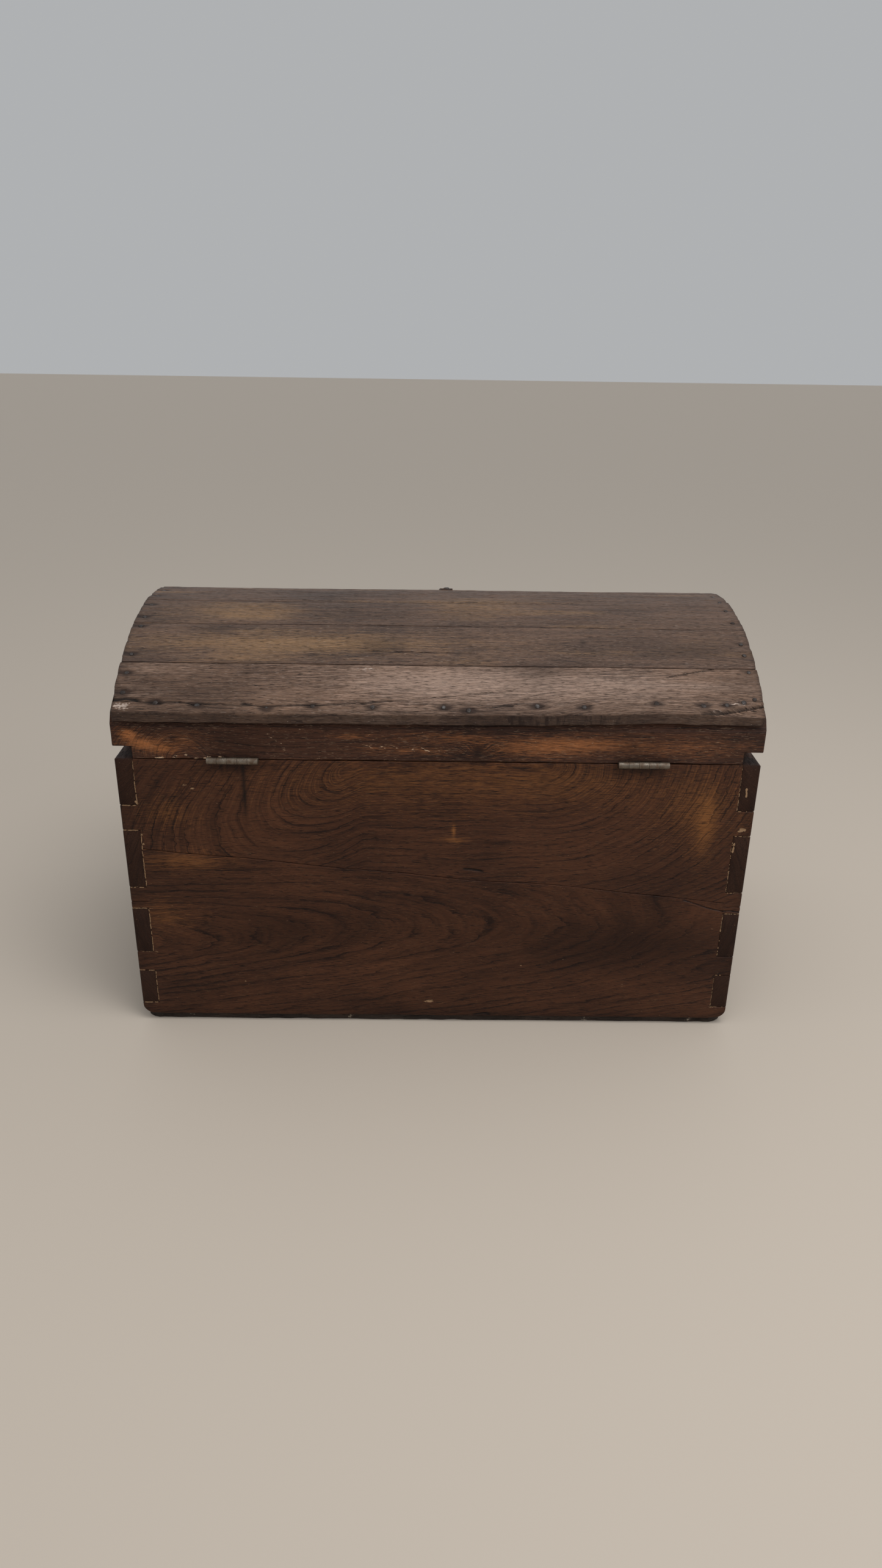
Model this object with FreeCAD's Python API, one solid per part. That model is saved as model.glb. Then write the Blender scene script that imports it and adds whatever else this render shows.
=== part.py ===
import FreeCAD, Part
import math
import os

# Dome-top storage chest of dovetailed oak boards with forged iron fittings.  Millimetres, +Z up.
# The origin lies under the middle of the bottom boards.  The lock front faces -Y, the hinges +Y,
# and "left" is the end towards -X, as seen by someone who faces the lock.

Vec = FreeCAD.Vector

# Overall sizes.
BODY_L = 850.0              # length over the end boards
BODY_D = 490.0              # depth over the front and back boards
BODY_H = 412.0              # floor to the top edge of the front and back boards
DOME_RISE = 161.0           # top edge of the body to the crest of the lid

# Body boards.
WALL_T = 22.0               # front and back boards
END_T = 24.0                # end boards
BOTTOM_T = 11.0             # bottom boards
BOTTOM_INSET = 4.0          # bottom boards stop short of the wall faces
BOTTOM_BOARDS = 3
BOARD_GAP = 0.6             # open line between neighbouring bottom boards
BACK_JOINT_RIGHT = 279.0    # height of the sloping joint in the back at its right end
BACK_JOINT_LEFT = 203.0     # and at its left end
FRONT_JOINT_RISE = 28.5     # level joint in the front above the joint of the end boards

# Dovetails, from the bottom of a wall up: half pin, then tail, pin, tail and so on.
HALF_PIN = 19.0
TAILS = (55.0, 71.0, 88.0, 67.0)
PINS = (31.0, 33.0, 37.0)
TAIL_SLOPE = 1.0 / 6.0
END_JOINT_PIN = 1           # the pin at whose middle the end boards are joined

# Lid.
LID_GAP = 1.2               # open line between body and lid
RAIL_T = 22.0               # front and back rails of the lid
RAIL_END = 1.0              # rails stand past the body's ends
LID_END_T = 24.0            # arched end boards
LID_END_SETBACK = 3.5       # arched ends and stave ends lie inside the body's ends
LID_END_LIFT = 18.0         # arched ends and rail notches start this far above the body's top
LIP_INSET = 62.0            # the raised lip of a body end starts this far from each corner
NOTCH_CLEAR = 0.5           # rail notch beyond the inner face of the body end
EAVE_H = 69.5               # eave arris above the body's top
EAVE_OVERHANG = 4.8         # plumb-cut lower stave edge beyond the body's faces
STAVE_T = 14.0              # stave thickness along a joint
STAVE_WIDTHS = (79.0, 85.0, 77.0, 80.0, 77.0, 76.0, 72.0)  # from the back, drawn to fill the dome
STAVE_GAP = 0.7             # open line between staves
RAIL_TOP_DROP = 23.5        # outer top corner of a rail below the eave arris
RAIL_BEVEL = 9.0            # and how far that corner is cut back

# Butt hinges at the back.
HINGE_X = 269.5             # middle of a hinge from the middle of the chest
HINGE_L = 67.0
LEAF_W = 17.0               # leaf let into the wood
LEAF_T = 2.0
KNUCKLE_R = 4.5
KNUCKLES = 5
KNUCKLE_GAP = 0.4
HINGE_PIN_R = 2.3
PIN_CLEAR = 0.08            # running clearance of every hinge pin
HINGE_PROUD = 5.0           # pin axis behind the back face
KNUCKLE_CLEAR = 0.35        # leaf of one side clear of the knuckle of the other
SCREWS_PER_LEAF = 3

# Hasp, strap and staple at the front.
HASP_X = -10.5              # their middle from the middle of the chest
STRAP_W = 27.0
STRAP_TIP_W = 18.0          # the strap narrows to this at its upper end
STRAP_TAPER_FROM = 30.0     # from this far in front of the crest, in degrees
STRAP_T = 2.6
STRAP_CLEAR = 0.3           # strap clear of the wood it is bent over
STRAP_TOP_ANGLE = 11.5      # the strap ends this far in front of the crest, in degrees
STRAP_FOOT = 6.0            # lower end of the strap above the lid's lower edge
HASP_L = 104.0              # hinge to tip
HASP_W = 30.0
HASP_TIP_W = 17.0
HASP_T = 2.6
HASP_KNUCKLE_R = 4.6
HASP_KNUCKLE_W = 11.0
HASP_PIN_R = 2.0
HASP_PROUD = 6.4            # hinge axis in front of the rail's face
HASP_REST = 12.0            # the free hasp leans out on the staple by this angle
SLOT_W = 9.5
SLOT_L = 30.0
SLOT_DROP = 70.0            # hinge to the middle of the slot
STAPLE_R = 2.6
STAPLE_SPAN = 15.0          # between the centres of the two legs
STAPLE_OUT = 13.5           # how far it stands out of its plate
STAPLE_IN = 18.0            # leg length in the wood
STAPLE_PLATE = (64.0, 92.0, 2.0)

# Drop handles on the ends.
HANDLE_Z = 286.0            # pivot height
HANDLE_PLATE = (142.0, 44.0, 2.5)
LUG_Y = 46.0                # middle of a lug from the middle of the plate
LUG_W = 10.0
LUG_R = 7.5
BAIL_R = 4.0
BAIL_PIN_CLEAR = 0.09
BAIL_PROUD = 11.0           # pivot in front of the plate
BAIL_ARM_Y = 62.0           # middle of an arm from the middle of the bail
BAIL_DROP = 58.0            # pivot to the middle of the grip
BAIL_BEND = 14.0            # radius of the lower bends
BAIL_SHOULDER = 8.0         # radius of the bends beside the lugs

# Nails: shank radius, head radius, head thickness, length, depth of the head under the surface.
EAVE_NAIL = (1.5, 3.6, 1.4, 27.0, 0.6)
STAVE_NAIL = (1.5, 3.2, 1.4, 40.0, 0.5)
RAIL_NAIL = (1.5, 2.4, 2.0, 55.0, 0.2)
BOTTOM_NAIL = (1.6, 3.2, 1.4, 42.0, 0.6)
PLATE_NAIL = (1.6, 4.2, 1.3, 17.0, -1.3)
STRAP_NAIL = (1.6, 4.2, 1.3, 14.0, -1.3)
NAIL_CLEAR = 0.05           # wood clear of a nail
SCREW_R = 1.7
SCREW_HEAD_R = 3.5
SCREW_L = 17.0

# Eave nails driven by eye: place along the chest as a share of half the stave length, and distance
# up the stave from the eave arris.
BACK_EAVE_NAILS = ((-0.937, 21.0), (-0.883, 16.0), (-0.811, 14.0), (-0.667, 16.0), (-0.444, 11.0),
                   (-0.301, 13.0), (-0.090, 6.0), (-0.014, 10.0), (0.204, 10.0), (0.387, 11.0),
                   (0.527, 7.0), (0.740, 11.0), (0.868, 14.0))
FRONT_EAVE_NAILS = ((-0.95, 9.0), (-0.82, 9.0), (-0.66, 11.0), (-0.50, 9.0), (-0.33, 12.0), (-0.15, 9.0),
                    (0.17, 10.0), (0.31, 12.0), (0.49, 9.0), (0.65, 11.0), (0.80, 9.0), (0.94, 9.0))

# Nails through the end of each stave, as shares of its width, from the back eave to the front.
END_NAILS_LEFT = ((0.33, 0.93), (0.32, 0.60), (0.26, 0.80), (0.30, 0.78),
                  (0.24, 0.76), (0.27, 0.72), (0.24, 0.70))
END_NAILS_RIGHT = ((0.36, 0.76), (0.19, 0.92), (0.24, 0.76), (0.28, 0.74),
                   (0.22, 0.79), (0.26, 0.76), (0.28, 0.70))

# Derived places.
HALF_L = BODY_L / 2
HALF_D = BODY_D / 2
IN_L = HALF_L - END_T                       # inner face of a body end
IN_D = HALF_D - WALL_T                      # inner face of front and back
LID_Z = BODY_H + LID_GAP                    # lower edge of the rails
LID_END_Z = BODY_H + LID_END_LIFT           # lower edge of the arched ends
LID_END_X = HALF_L - LID_END_SETBACK        # outer face of the arched ends
RAIL_X = HALF_L + RAIL_END
RAIL_IN_Y = HALF_D - RAIL_T
EAVE_Y = HALF_D + EAVE_OVERHANG
EAVE_Z = BODY_H + EAVE_H
CREST_Z = BODY_H + DOME_RISE
SAGITTA = CREST_Z - EAVE_Z
DOME_R = (EAVE_Y ** 2 + SAGITTA ** 2) / (2 * SAGITTA)
DOME_Z = CREST_Z - DOME_R                   # centre of the dome's circle
DOME_IN_R = DOME_R - STAVE_T
DOME_HALF = math.degrees(math.asin(EAVE_Y / DOME_R))
HINGE_Y = HALF_D + HINGE_PROUD
HINGE_Z = BODY_H + LID_GAP / 2
HASP_Y = -HALF_D - HASP_PROUD
HASP_Z = LID_Z + STRAP_FOOT
STAPLE_Z = HASP_Z - SLOT_DROP
BAIL_X = HALF_L + HANDLE_PLATE[2] + BAIL_PROUD

parts = {}


def box(x0, x1, y0, y1, z0, z1):
    """A block between two corners."""
    return Part.makeBox(x1 - x0, y1 - y0, z1 - z0, Vec(x0, y0, z0))


def prism(points, direction):
    """A flat outline, pushed along a direction."""
    wire = Part.makePolygon(points + [points[0]])
    return Part.Face(wire).extrude(direction)


def dome_point(radius, angle, x=0.0):
    """A point of the dome; the angle runs from the crest towards the hinges."""
    a = math.radians(angle)
    return Vec(x, radius * math.sin(a), DOME_Z + radius * math.cos(a))


def mirror_x(shape):
    return shape.mirror(Vec(0, 0, 0), Vec(1, 0, 0))


def mirror_y(shape):
    return shape.mirror(Vec(0, 0, 0), Vec(0, 1, 0))


class Fastener:
    """A nail or screw: where its head lies, which way it is driven, and its own sizes."""

    def __init__(self, place, way, sizes):
        shank_r, head_r, head_t, length, sunk = sizes
        self.way = way.normalize()
        self.place = place + self.way * sunk
        self.shank_r = shank_r
        self.head_r = head_r
        self.head_t = head_t
        self.length = length

    def shape(self, grow):
        shank = Part.makeCylinder(self.shank_r + grow, self.length + grow, self.place, self.way)
        head = Part.makeCylinder(self.head_r + grow, self.head_t, self.place, self.way)
        return head.fuse(shank).removeSplitter()

    def solid(self):
        return self.shape(0.0)

    def hole(self):
        """The nail with its clearance, open above its head."""
        open_top = Part.makeCylinder(self.head_r + NAIL_CLEAR, 4.0, self.place - self.way * 4.0, self.way)
        return self.shape(NAIL_CLEAR).fuse(open_top)


class Screw(Fastener):
    """A countersunk screw whose head lies flush."""

    def shape(self, grow):
        cone_l = self.head_r - self.shank_r
        cone = Part.makeCone(self.head_r + grow, self.shank_r + grow, cone_l, self.place, self.way)
        shank = Part.makeCylinder(self.shank_r + grow, self.length + grow, self.place, self.way)
        return cone.fuse(shank).removeSplitter()

    def hole(self):
        return self.shape(NAIL_CLEAR)


def drill(names, fasteners):
    """Cut the holes of these fasteners in the named pieces."""
    for name in names:
        reach = parts[name].BoundBox
        holes = [f.hole() for f in fasteners if reach.intersect(f.hole().BoundBox)]
        if holes:
            parts[name] = parts[name].cut(holes)


def fit_fasteners(node, fasteners, names):
    """Make the group of fasteners and the holes for it."""
    drill(names, fasteners)
    parts[node] = Part.makeCompound([f.solid() for f in fasteners])


# ---- Body ----------------------------------------------------------------

def tail_spans():
    """Lower and upper edge of each tail at the outside of the corner."""
    scale = (BODY_H - BOTTOM_T) / (HALF_PIN + sum(TAILS) + sum(PINS))
    spans = []
    z = BOTTOM_T + HALF_PIN * scale
    for tail, pin in zip(TAILS, PINS + (0.0,)):
        spans.append((z, z + tail * scale))
        z += (tail + pin) * scale
    return spans


def tails_at_back_right():
    """The tails of one end board at one corner, wide at the outside."""
    solids = []
    for low, high in tail_spans():
        nip = WALL_T * TAIL_SLOPE
        top_nip = nip if high < BODY_H - 1.0 else 0.0
        outline = [Vec(IN_L, HALF_D, low), Vec(IN_L, HALF_D, high),
                   Vec(IN_L, IN_D, high - top_nip), Vec(IN_L, IN_D, low + nip)]
        solids.append(prism(outline, Vec(END_T, 0, 0)))
    return solids


def end_joint_height():
    spans = tail_spans()
    return (spans[END_JOINT_PIN][1] + spans[END_JOINT_PIN + 1][0]) / 2


def make_end_boards():
    """Each end: a lower and an upper board, tails at both corners, and a raised lip in the middle."""
    whole = box(IN_L, HALF_L, -IN_D, IN_D, BOTTOM_T, BODY_H)
    lip_y = HALF_D - LIP_INSET
    whole = whole.fuse(box(IN_L, HALF_L, -lip_y, lip_y, BODY_H, LID_END_Z - LID_GAP))
    tails = tails_at_back_right()
    whole = whole.fuse(tails + [mirror_y(t) for t in tails]).removeSplitter()
    z = end_joint_height()
    lower = whole.common(box(0, BODY_L, -BODY_D, BODY_D, 0, z))
    upper = whole.common(box(0, BODY_L, -BODY_D, BODY_D, z, CREST_Z))
    parts["right_end_board_lower"] = lower
    parts["right_end_board_upper"] = upper
    parts["left_end_board_lower"] = mirror_x(lower)
    parts["left_end_board_upper"] = mirror_x(upper)


def make_long_boards():
    """Front and back: two boards each with pins between the tails; the back joint slopes."""
    back = box(-HALF_L, HALF_L, IN_D, HALF_D, BOTTOM_T, BODY_H)
    tails = tails_at_back_right()
    back = back.cut(tails + [mirror_x(t) for t in tails])
    front = mirror_y(back)
    front_joint = end_joint_height() + FRONT_JOINT_RISE
    for name, wall, z_left, z_right in (
            ("back", back, BACK_JOINT_LEFT, BACK_JOINT_RIGHT),
            ("front", front, front_joint, front_joint)):
        slope = (z_right - z_left) / (2 * IN_L)
        out_left = z_left - slope * (HALF_L - IN_L)
        out_right = z_right + slope * (HALF_L - IN_L)
        below = prism([Vec(-HALF_L, -BODY_D, 0), Vec(HALF_L, -BODY_D, 0),
                       Vec(HALF_L, -BODY_D, out_right), Vec(-HALF_L, -BODY_D, out_left)],
                      Vec(0, 2 * BODY_D, 0))
        parts[name + "_board_lower"] = wall.common(below)
        parts[name + "_board_upper"] = wall.cut(below)


def make_bottom():
    """Bottom boards nailed up into the walls from below."""
    half_x = HALF_L - BOTTOM_INSET
    half_y = HALF_D - BOTTOM_INSET
    width = (2 * half_y - (BOTTOM_BOARDS - 1) * BOARD_GAP) / BOTTOM_BOARDS
    names = []
    nails = []
    up = Vec(0, 0, 1)
    for i in range(BOTTOM_BOARDS):
        y0 = -half_y + i * (width + BOARD_GAP)
        name = "bottom_board_%d" % (i + 1)
        parts[name] = box(-half_x, half_x, y0, y0 + width, 0, BOTTOM_T)
        names.append(name)
        for side in (-1, 1):
            for share in (0.22, 0.5, 0.78):
                place = Vec(side * (HALF_L - END_T / 2), y0 + width * share, 0)
                nails.append(Fastener(place, up, BOTTOM_NAIL))
    for side in (-1, 1):
        for k in range(6):
            x = -HALF_L * 0.8 + k * HALF_L * 1.6 / 5
            nails.append(Fastener(Vec(x, side * (HALF_D - WALL_T / 2), 0), up, BOTTOM_NAIL))
    walls = ["back_board_lower", "front_board_lower", "left_end_board_lower", "right_end_board_lower"]
    fit_fasteners("bottom_nails", nails, names + walls)


# ---- Lid -----------------------------------------------------------------

def stave_angles():
    """Angles of the stave joints, from the back eave to the front eave."""
    total = sum(STAVE_WIDTHS)
    angles = [DOME_HALF]
    for width in STAVE_WIDTHS:
        angles.append(angles[-1] - 2 * DOME_HALF * width / total)
    return angles


def inner_radius(angle, back, front):
    """Distance from the dome's centre to the flat underside of the stave between two joints."""
    half = math.radians((back - front) / 2)
    off = math.radians(angle - (back + front) / 2)
    return DOME_IN_R * math.cos(half) / math.cos(off)


def make_staves():
    """Seven boards: round outside, flat underneath, joints towards the centre, eave edges plumb."""
    angles = stave_angles()
    half_gap = math.degrees(STAVE_GAP / 2 / DOME_R)
    for i in range(len(STAVE_WIDTHS)):
        back, front = angles[i], angles[i + 1]
        high = back - (half_gap if i > 0 else 0.0)
        low = front + (half_gap if i < len(STAVE_WIDTHS) - 1 else 0.0)
        x = -LID_END_X
        out_back = dome_point(DOME_R, high, x)
        out_mid = dome_point(DOME_R, (high + low) / 2, x)
        out_front = dome_point(DOME_R, low, x)
        in_front = dome_point(inner_radius(low, back, front), low, x)
        in_back = dome_point(inner_radius(high, back, front), high, x)
        if i == 0:
            in_back = Vec(x, EAVE_Y, underside_at(EAVE_Y, back, front))
        if i == len(STAVE_WIDTHS) - 1:
            in_front = Vec(x, -EAVE_Y, underside_at(-EAVE_Y, front, back))
        edges = [Part.Arc(out_back, out_mid, out_front).toShape(),
                 Part.makeLine(out_front, in_front),
                 Part.makeLine(in_front, in_back),
                 Part.makeLine(in_back, out_back)]
        section = Part.Face(Part.Wire(edges))
        parts["stave_%d" % (i + 1)] = section.extrude(Vec(2 * LID_END_X, 0, 0))


def underside_at(y, back, front):
    """Height of a stave's flat underside at this depth."""
    a, b = dome_point(DOME_IN_R, back), dome_point(DOME_IN_R, front)
    return a.z + (y - a.y) * (b.z - a.z) / (b.y - a.y)


def make_lid_ends():
    """Arched boards whose upper edge has one flat for each stave."""
    angles = stave_angles()
    x = LID_END_X - LID_END_T
    y = RAIL_IN_Y
    outline = [Vec(x, -y, LID_END_Z), Vec(x, y, LID_END_Z),
               Vec(x, y, underside_at(y, angles[0], angles[1]))]
    for angle in angles[1:-1]:
        outline.append(dome_point(DOME_IN_R, angle, x))
    outline.append(Vec(x, -y, underside_at(-y, angles[-2], angles[-1])))
    right = prism(outline, Vec(LID_END_T, 0, 0))
    parts["lid_right_end"] = right
    parts["lid_left_end"] = mirror_x(right)


def make_rails():
    """Long rails over the ends of the arched boards, notched at their lower corners."""
    angles = stave_angles()
    for name, side, near, far in (("lid_back_rail", 1, 0, 1), ("lid_front_rail", -1, -1, -2)):
        top_in = underside_at(side * RAIL_IN_Y, angles[near], angles[far])
        top_out = underside_at(side * (HALF_D - RAIL_BEVEL), angles[near], angles[far])
        outline = [Vec(-RAIL_X, side * RAIL_IN_Y, LID_Z), Vec(-RAIL_X, side * HALF_D, LID_Z),
                   Vec(-RAIL_X, side * HALF_D, EAVE_Z - RAIL_TOP_DROP),
                   Vec(-RAIL_X, side * (HALF_D - RAIL_BEVEL), top_out),
                   Vec(-RAIL_X, side * RAIL_IN_Y, top_in)]
        rail = prism(outline, Vec(2 * RAIL_X, 0, 0))
        notch = box(IN_L - NOTCH_CLEAR, RAIL_X + 1, -BODY_D, BODY_D, 0, LID_END_Z)
        parts[name] = rail.cut([notch, mirror_x(notch)])


def stave_names():
    return ["stave_%d" % (i + 1) for i in range(len(STAVE_WIDTHS))]


def nail_lid():
    """Nails through the stave ends, along both eaves, and through the rails into the arched ends."""
    angles = stave_angles()
    for name, side, end_nails in (("left", -1, END_NAILS_LEFT), ("right", 1, END_NAILS_RIGHT)):
        nails = []
        for i, shares in enumerate(end_nails):
            for share in shares:
                angle = angles[i] + (angles[i + 1] - angles[i]) * share
                x = side * (LID_END_X - LID_END_T / 2)
                place = dome_point(DOME_R, angle, x)
                nails.append(Fastener(place, dome_point(0, 0, x) - place, STAVE_NAIL))
        rails = ["lid_back_rail", "lid_front_rail"]
        fit_fasteners("stave_nails_" + name, nails, stave_names() + rails + ["lid_%s_end" % name])
    for name, side, places, stave in (("back", 1, BACK_EAVE_NAILS, stave_names()[0]),
                                      ("front", -1, FRONT_EAVE_NAILS, stave_names()[-1])):
        nails = []
        for share, rise in places:
            x = share * LID_END_X
            place = dome_point(DOME_R, side * (DOME_HALF - math.degrees(rise / DOME_R)), x)
            nails.append(Fastener(place, dome_point(0, 0, x) - place, EAVE_NAIL))
        fit_fasteners("eave_nails_" + name, nails, [stave, "lid_%s_rail" % name])
    nails = []
    for side_x in (-1, 1):
        for side_y in (-1, 1):
            for z in (LID_END_Z + 9, LID_END_Z + 24):
                place = Vec(side_x * (LID_END_X - LID_END_T / 2), side_y * HALF_D, z)
                nails.append(Fastener(place, Vec(0, -side_y, 0), RAIL_NAIL))
    fit_fasteners("rail_nails", nails, ["lid_back_rail", "lid_front_rail", "lid_left_end", "lid_right_end"])


# ---- Hinges --------------------------------------------------------------

def leaf(x, plate_z, own, other):
    """One leaf of a butt hinge with its own knuckles, bored for the pin."""
    x0 = x - HINGE_L / 2
    pitch = HINGE_L / KNUCKLES
    shape = box(x0, x0 + HINGE_L, HALF_D - LEAF_W, HINGE_Y, plate_z, plate_z + LEAF_T)
    for k in other:
        room = box(x0 + k * pitch - KNUCKLE_GAP / 2, x0 + (k + 1) * pitch + KNUCKLE_GAP / 2,
                   HINGE_Y - KNUCKLE_R - KNUCKLE_CLEAR, HINGE_Y + KNUCKLE_R,
                   plate_z - 1, plate_z + LEAF_T + 1)
        shape = shape.cut(room)
    for k in own:
        barrel = Part.makeCylinder(KNUCKLE_R, pitch - KNUCKLE_GAP,
                                   Vec(x0 + k * pitch + KNUCKLE_GAP / 2, HINGE_Y, HINGE_Z), Vec(1, 0, 0))
        shape = shape.fuse(barrel)
    start = Vec(x0 - 1, HINGE_Y, HINGE_Z)
    bore = Part.makeCylinder(HINGE_PIN_R + PIN_CLEAR, HINGE_L + 2, start, Vec(1, 0, 0))
    return shape.cut(bore).removeSplitter()


def leaf_screws(x, z, way):
    y = HALF_D - LEAF_W / 2
    sizes = (SCREW_R, SCREW_HEAD_R, 0.0, SCREW_L, 0.0)
    step = HINGE_L / SCREWS_PER_LEAF
    return [Screw(Vec(x + (k - (SCREWS_PER_LEAF - 1) / 2) * step, y, z), Vec(0, 0, way), sizes)
            for k in range(SCREWS_PER_LEAF)]


def make_hinges():
    """Two butt hinges let into the top of the back board and the underside of the back rail."""
    body_z = BODY_H - LEAF_T
    body_screws = []
    lid_screws = []
    leaves = {"body": [], "lid": []}
    for name, x in (("left", -HINGE_X), ("right", HINGE_X)):
        odd = range(1, KNUCKLES, 2)
        even = range(0, KNUCKLES, 2)
        parts["hinge_%s_body_leaf" % name] = leaf(x, body_z, even, odd)
        parts["hinge_%s_lid_leaf" % name] = leaf(x, LID_Z, odd, even)
        leaves["body"].append("hinge_%s_body_leaf" % name)
        leaves["lid"].append("hinge_%s_lid_leaf" % name)
        parts["hinge_%s_pin" % name] = Part.makeCylinder(
            HINGE_PIN_R, HINGE_L, Vec(x - HINGE_L / 2, HINGE_Y, HINGE_Z), Vec(1, 0, 0))
        x0, x1 = x - HINGE_L / 2, x + HINGE_L / 2
        bed = box(x0, x1, HALF_D - LEAF_W, HALF_D + 1, body_z, BODY_H + 1)
        parts["back_board_upper"] = parts["back_board_upper"].cut(bed)
        bed = box(x0, x1, HALF_D - LEAF_W, HALF_D + 1, LID_Z - 1, LID_Z + LEAF_T)
        parts["lid_back_rail"] = parts["lid_back_rail"].cut(bed)
        body_screws += leaf_screws(x, BODY_H, -1)
        lid_screws += leaf_screws(x, LID_Z, 1)
    fit_fasteners("hinge_screws_body", body_screws, leaves["body"] + ["back_board_upper"])
    fit_fasteners("hinge_screws_lid", lid_screws, leaves["lid"] + ["lid_back_rail"])


# ---- Hasp, strap and staple ----------------------------------------------

def knuckle(x0, x1, plate_y, plate_t, z_plate):
    """A rolled barrel on the hasp's axis with a web to its plate above or below."""
    barrel = Part.makeCylinder(HASP_KNUCKLE_R, x1 - x0, Vec(x0, HASP_Y, HASP_Z), Vec(1, 0, 0))
    web = box(x0, x1, plate_y - plate_t, plate_y, min(HASP_Z, z_plate), max(HASP_Z, z_plate))
    return barrel.fuse(web)


def hasp_place(shape):
    """Moves a shape made at the middle of the chest to the hasp's own line."""
    return shape.translated(Vec(HASP_X, 0, 0))


def hasp_bore():
    start = Vec(-STRAP_W / 2 - 1, HASP_Y, HASP_Z)
    return Part.makeCylinder(HASP_PIN_R + PIN_CLEAR, STRAP_W + 2, start, Vec(1, 0, 0))


def make_strap():
    """Flat iron from the hasp's hinge up the rail, round the front eave and nearly to the crest."""
    x = -STRAP_W / 2
    inner_y = -HALF_D - STRAP_CLEAR
    outer_y = inner_y - STRAP_T
    inner_r = DOME_R + STRAP_CLEAR
    outer_r = inner_r + STRAP_T
    low_z = HASP_Z + HASP_KNUCKLE_R + 1.0
    bend_z = EAVE_Z - RAIL_TOP_DROP
    in_lip = math.degrees(math.asin((EAVE_Y + STRAP_CLEAR) / inner_r))
    out_lip = math.degrees(math.asin((EAVE_Y + STRAP_CLEAR + STRAP_T) / outer_r))
    middle = (DOME_HALF + STRAP_TOP_ANGLE) / 2
    in_a, in_m, in_b = [dome_point(inner_r, -a, x) for a in (in_lip, middle, STRAP_TOP_ANGLE)]
    out_a, out_m, out_b = [dome_point(outer_r, -a, x) for a in (out_lip, middle, STRAP_TOP_ANGLE)]
    foot_in, bend_in = Vec(x, inner_y, low_z), Vec(x, inner_y, bend_z)
    foot_out, bend_out = Vec(x, outer_y, low_z), Vec(x, outer_y, bend_z - STRAP_T / 2)
    angles = stave_angles()
    lip_z = underside_at(-EAVE_Y, angles[-1], angles[-2]) - 2 * STRAP_CLEAR
    lip_in, lip_out = Vec(x, in_a.y, lip_z), Vec(x, out_a.y, lip_z - STRAP_T / 2)
    edges = [Part.makeLine(foot_in, bend_in), Part.makeLine(bend_in, lip_in), Part.makeLine(lip_in, in_a),
             Part.Arc(in_a, in_m, in_b).toShape(), Part.makeLine(in_b, out_b),
             Part.Arc(out_b, out_m, out_a).toShape(), Part.makeLine(out_a, lip_out),
             Part.makeLine(lip_out, bend_out), Part.makeLine(bend_out, foot_out),
             Part.makeLine(foot_out, foot_in)]
    strap = Part.Face(Part.Wire(edges)).extrude(Vec(STRAP_W, 0, 0))
    ear = (STRAP_W - HASP_KNUCKLE_W) / 2
    for x0 in (-STRAP_W / 2, STRAP_W / 2 - ear + KNUCKLE_GAP):
        strap = strap.fuse(knuckle(x0, x0 + ear - KNUCKLE_GAP, inner_y, STRAP_T, low_z))
    wide, tip = STRAP_W / 2, STRAP_TIP_W / 2
    y_wide = dome_point(outer_r, -STRAP_TAPER_FROM).y
    beside = prism([Vec(wide, y_wide, EAVE_Z), Vec(tip, dome_point(outer_r, -STRAP_TOP_ANGLE).y, EAVE_Z),
                    Vec(tip, 0, EAVE_Z), Vec(2 * wide, 0, EAVE_Z), Vec(2 * wide, y_wide, EAVE_Z)],
                   Vec(0, 0, 2 * SAGITTA))
    strap = strap.cut([beside, mirror_x(beside), hasp_bore()]).removeSplitter()
    parts["hasp_strap"] = hasp_place(strap)
    pin = Part.makeCylinder(HASP_PIN_R, STRAP_W, Vec(-STRAP_W / 2, HASP_Y, HASP_Z), Vec(1, 0, 0))
    parts["hasp_pin"] = hasp_place(pin)
    nails = []
    centre = dome_point(0, 0, HASP_X)
    for angle in (STRAP_TOP_ANGLE + 2.2, 22.0, 34.0):
        place = dome_point(outer_r, -angle, HASP_X)
        nails.append(Fastener(place, centre - place, STRAP_NAIL))
    for x_nail in (-8.0, 8.0):
        place = Vec(HASP_X + x_nail, outer_y, (low_z + bend_z) / 2 + 3.0)
        nails.append(Fastener(place, Vec(0, 1, 0), STRAP_NAIL))
    fit_fasteners("strap_nails", nails, ["hasp_strap", "lid_front_rail"] + stave_names())


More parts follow.
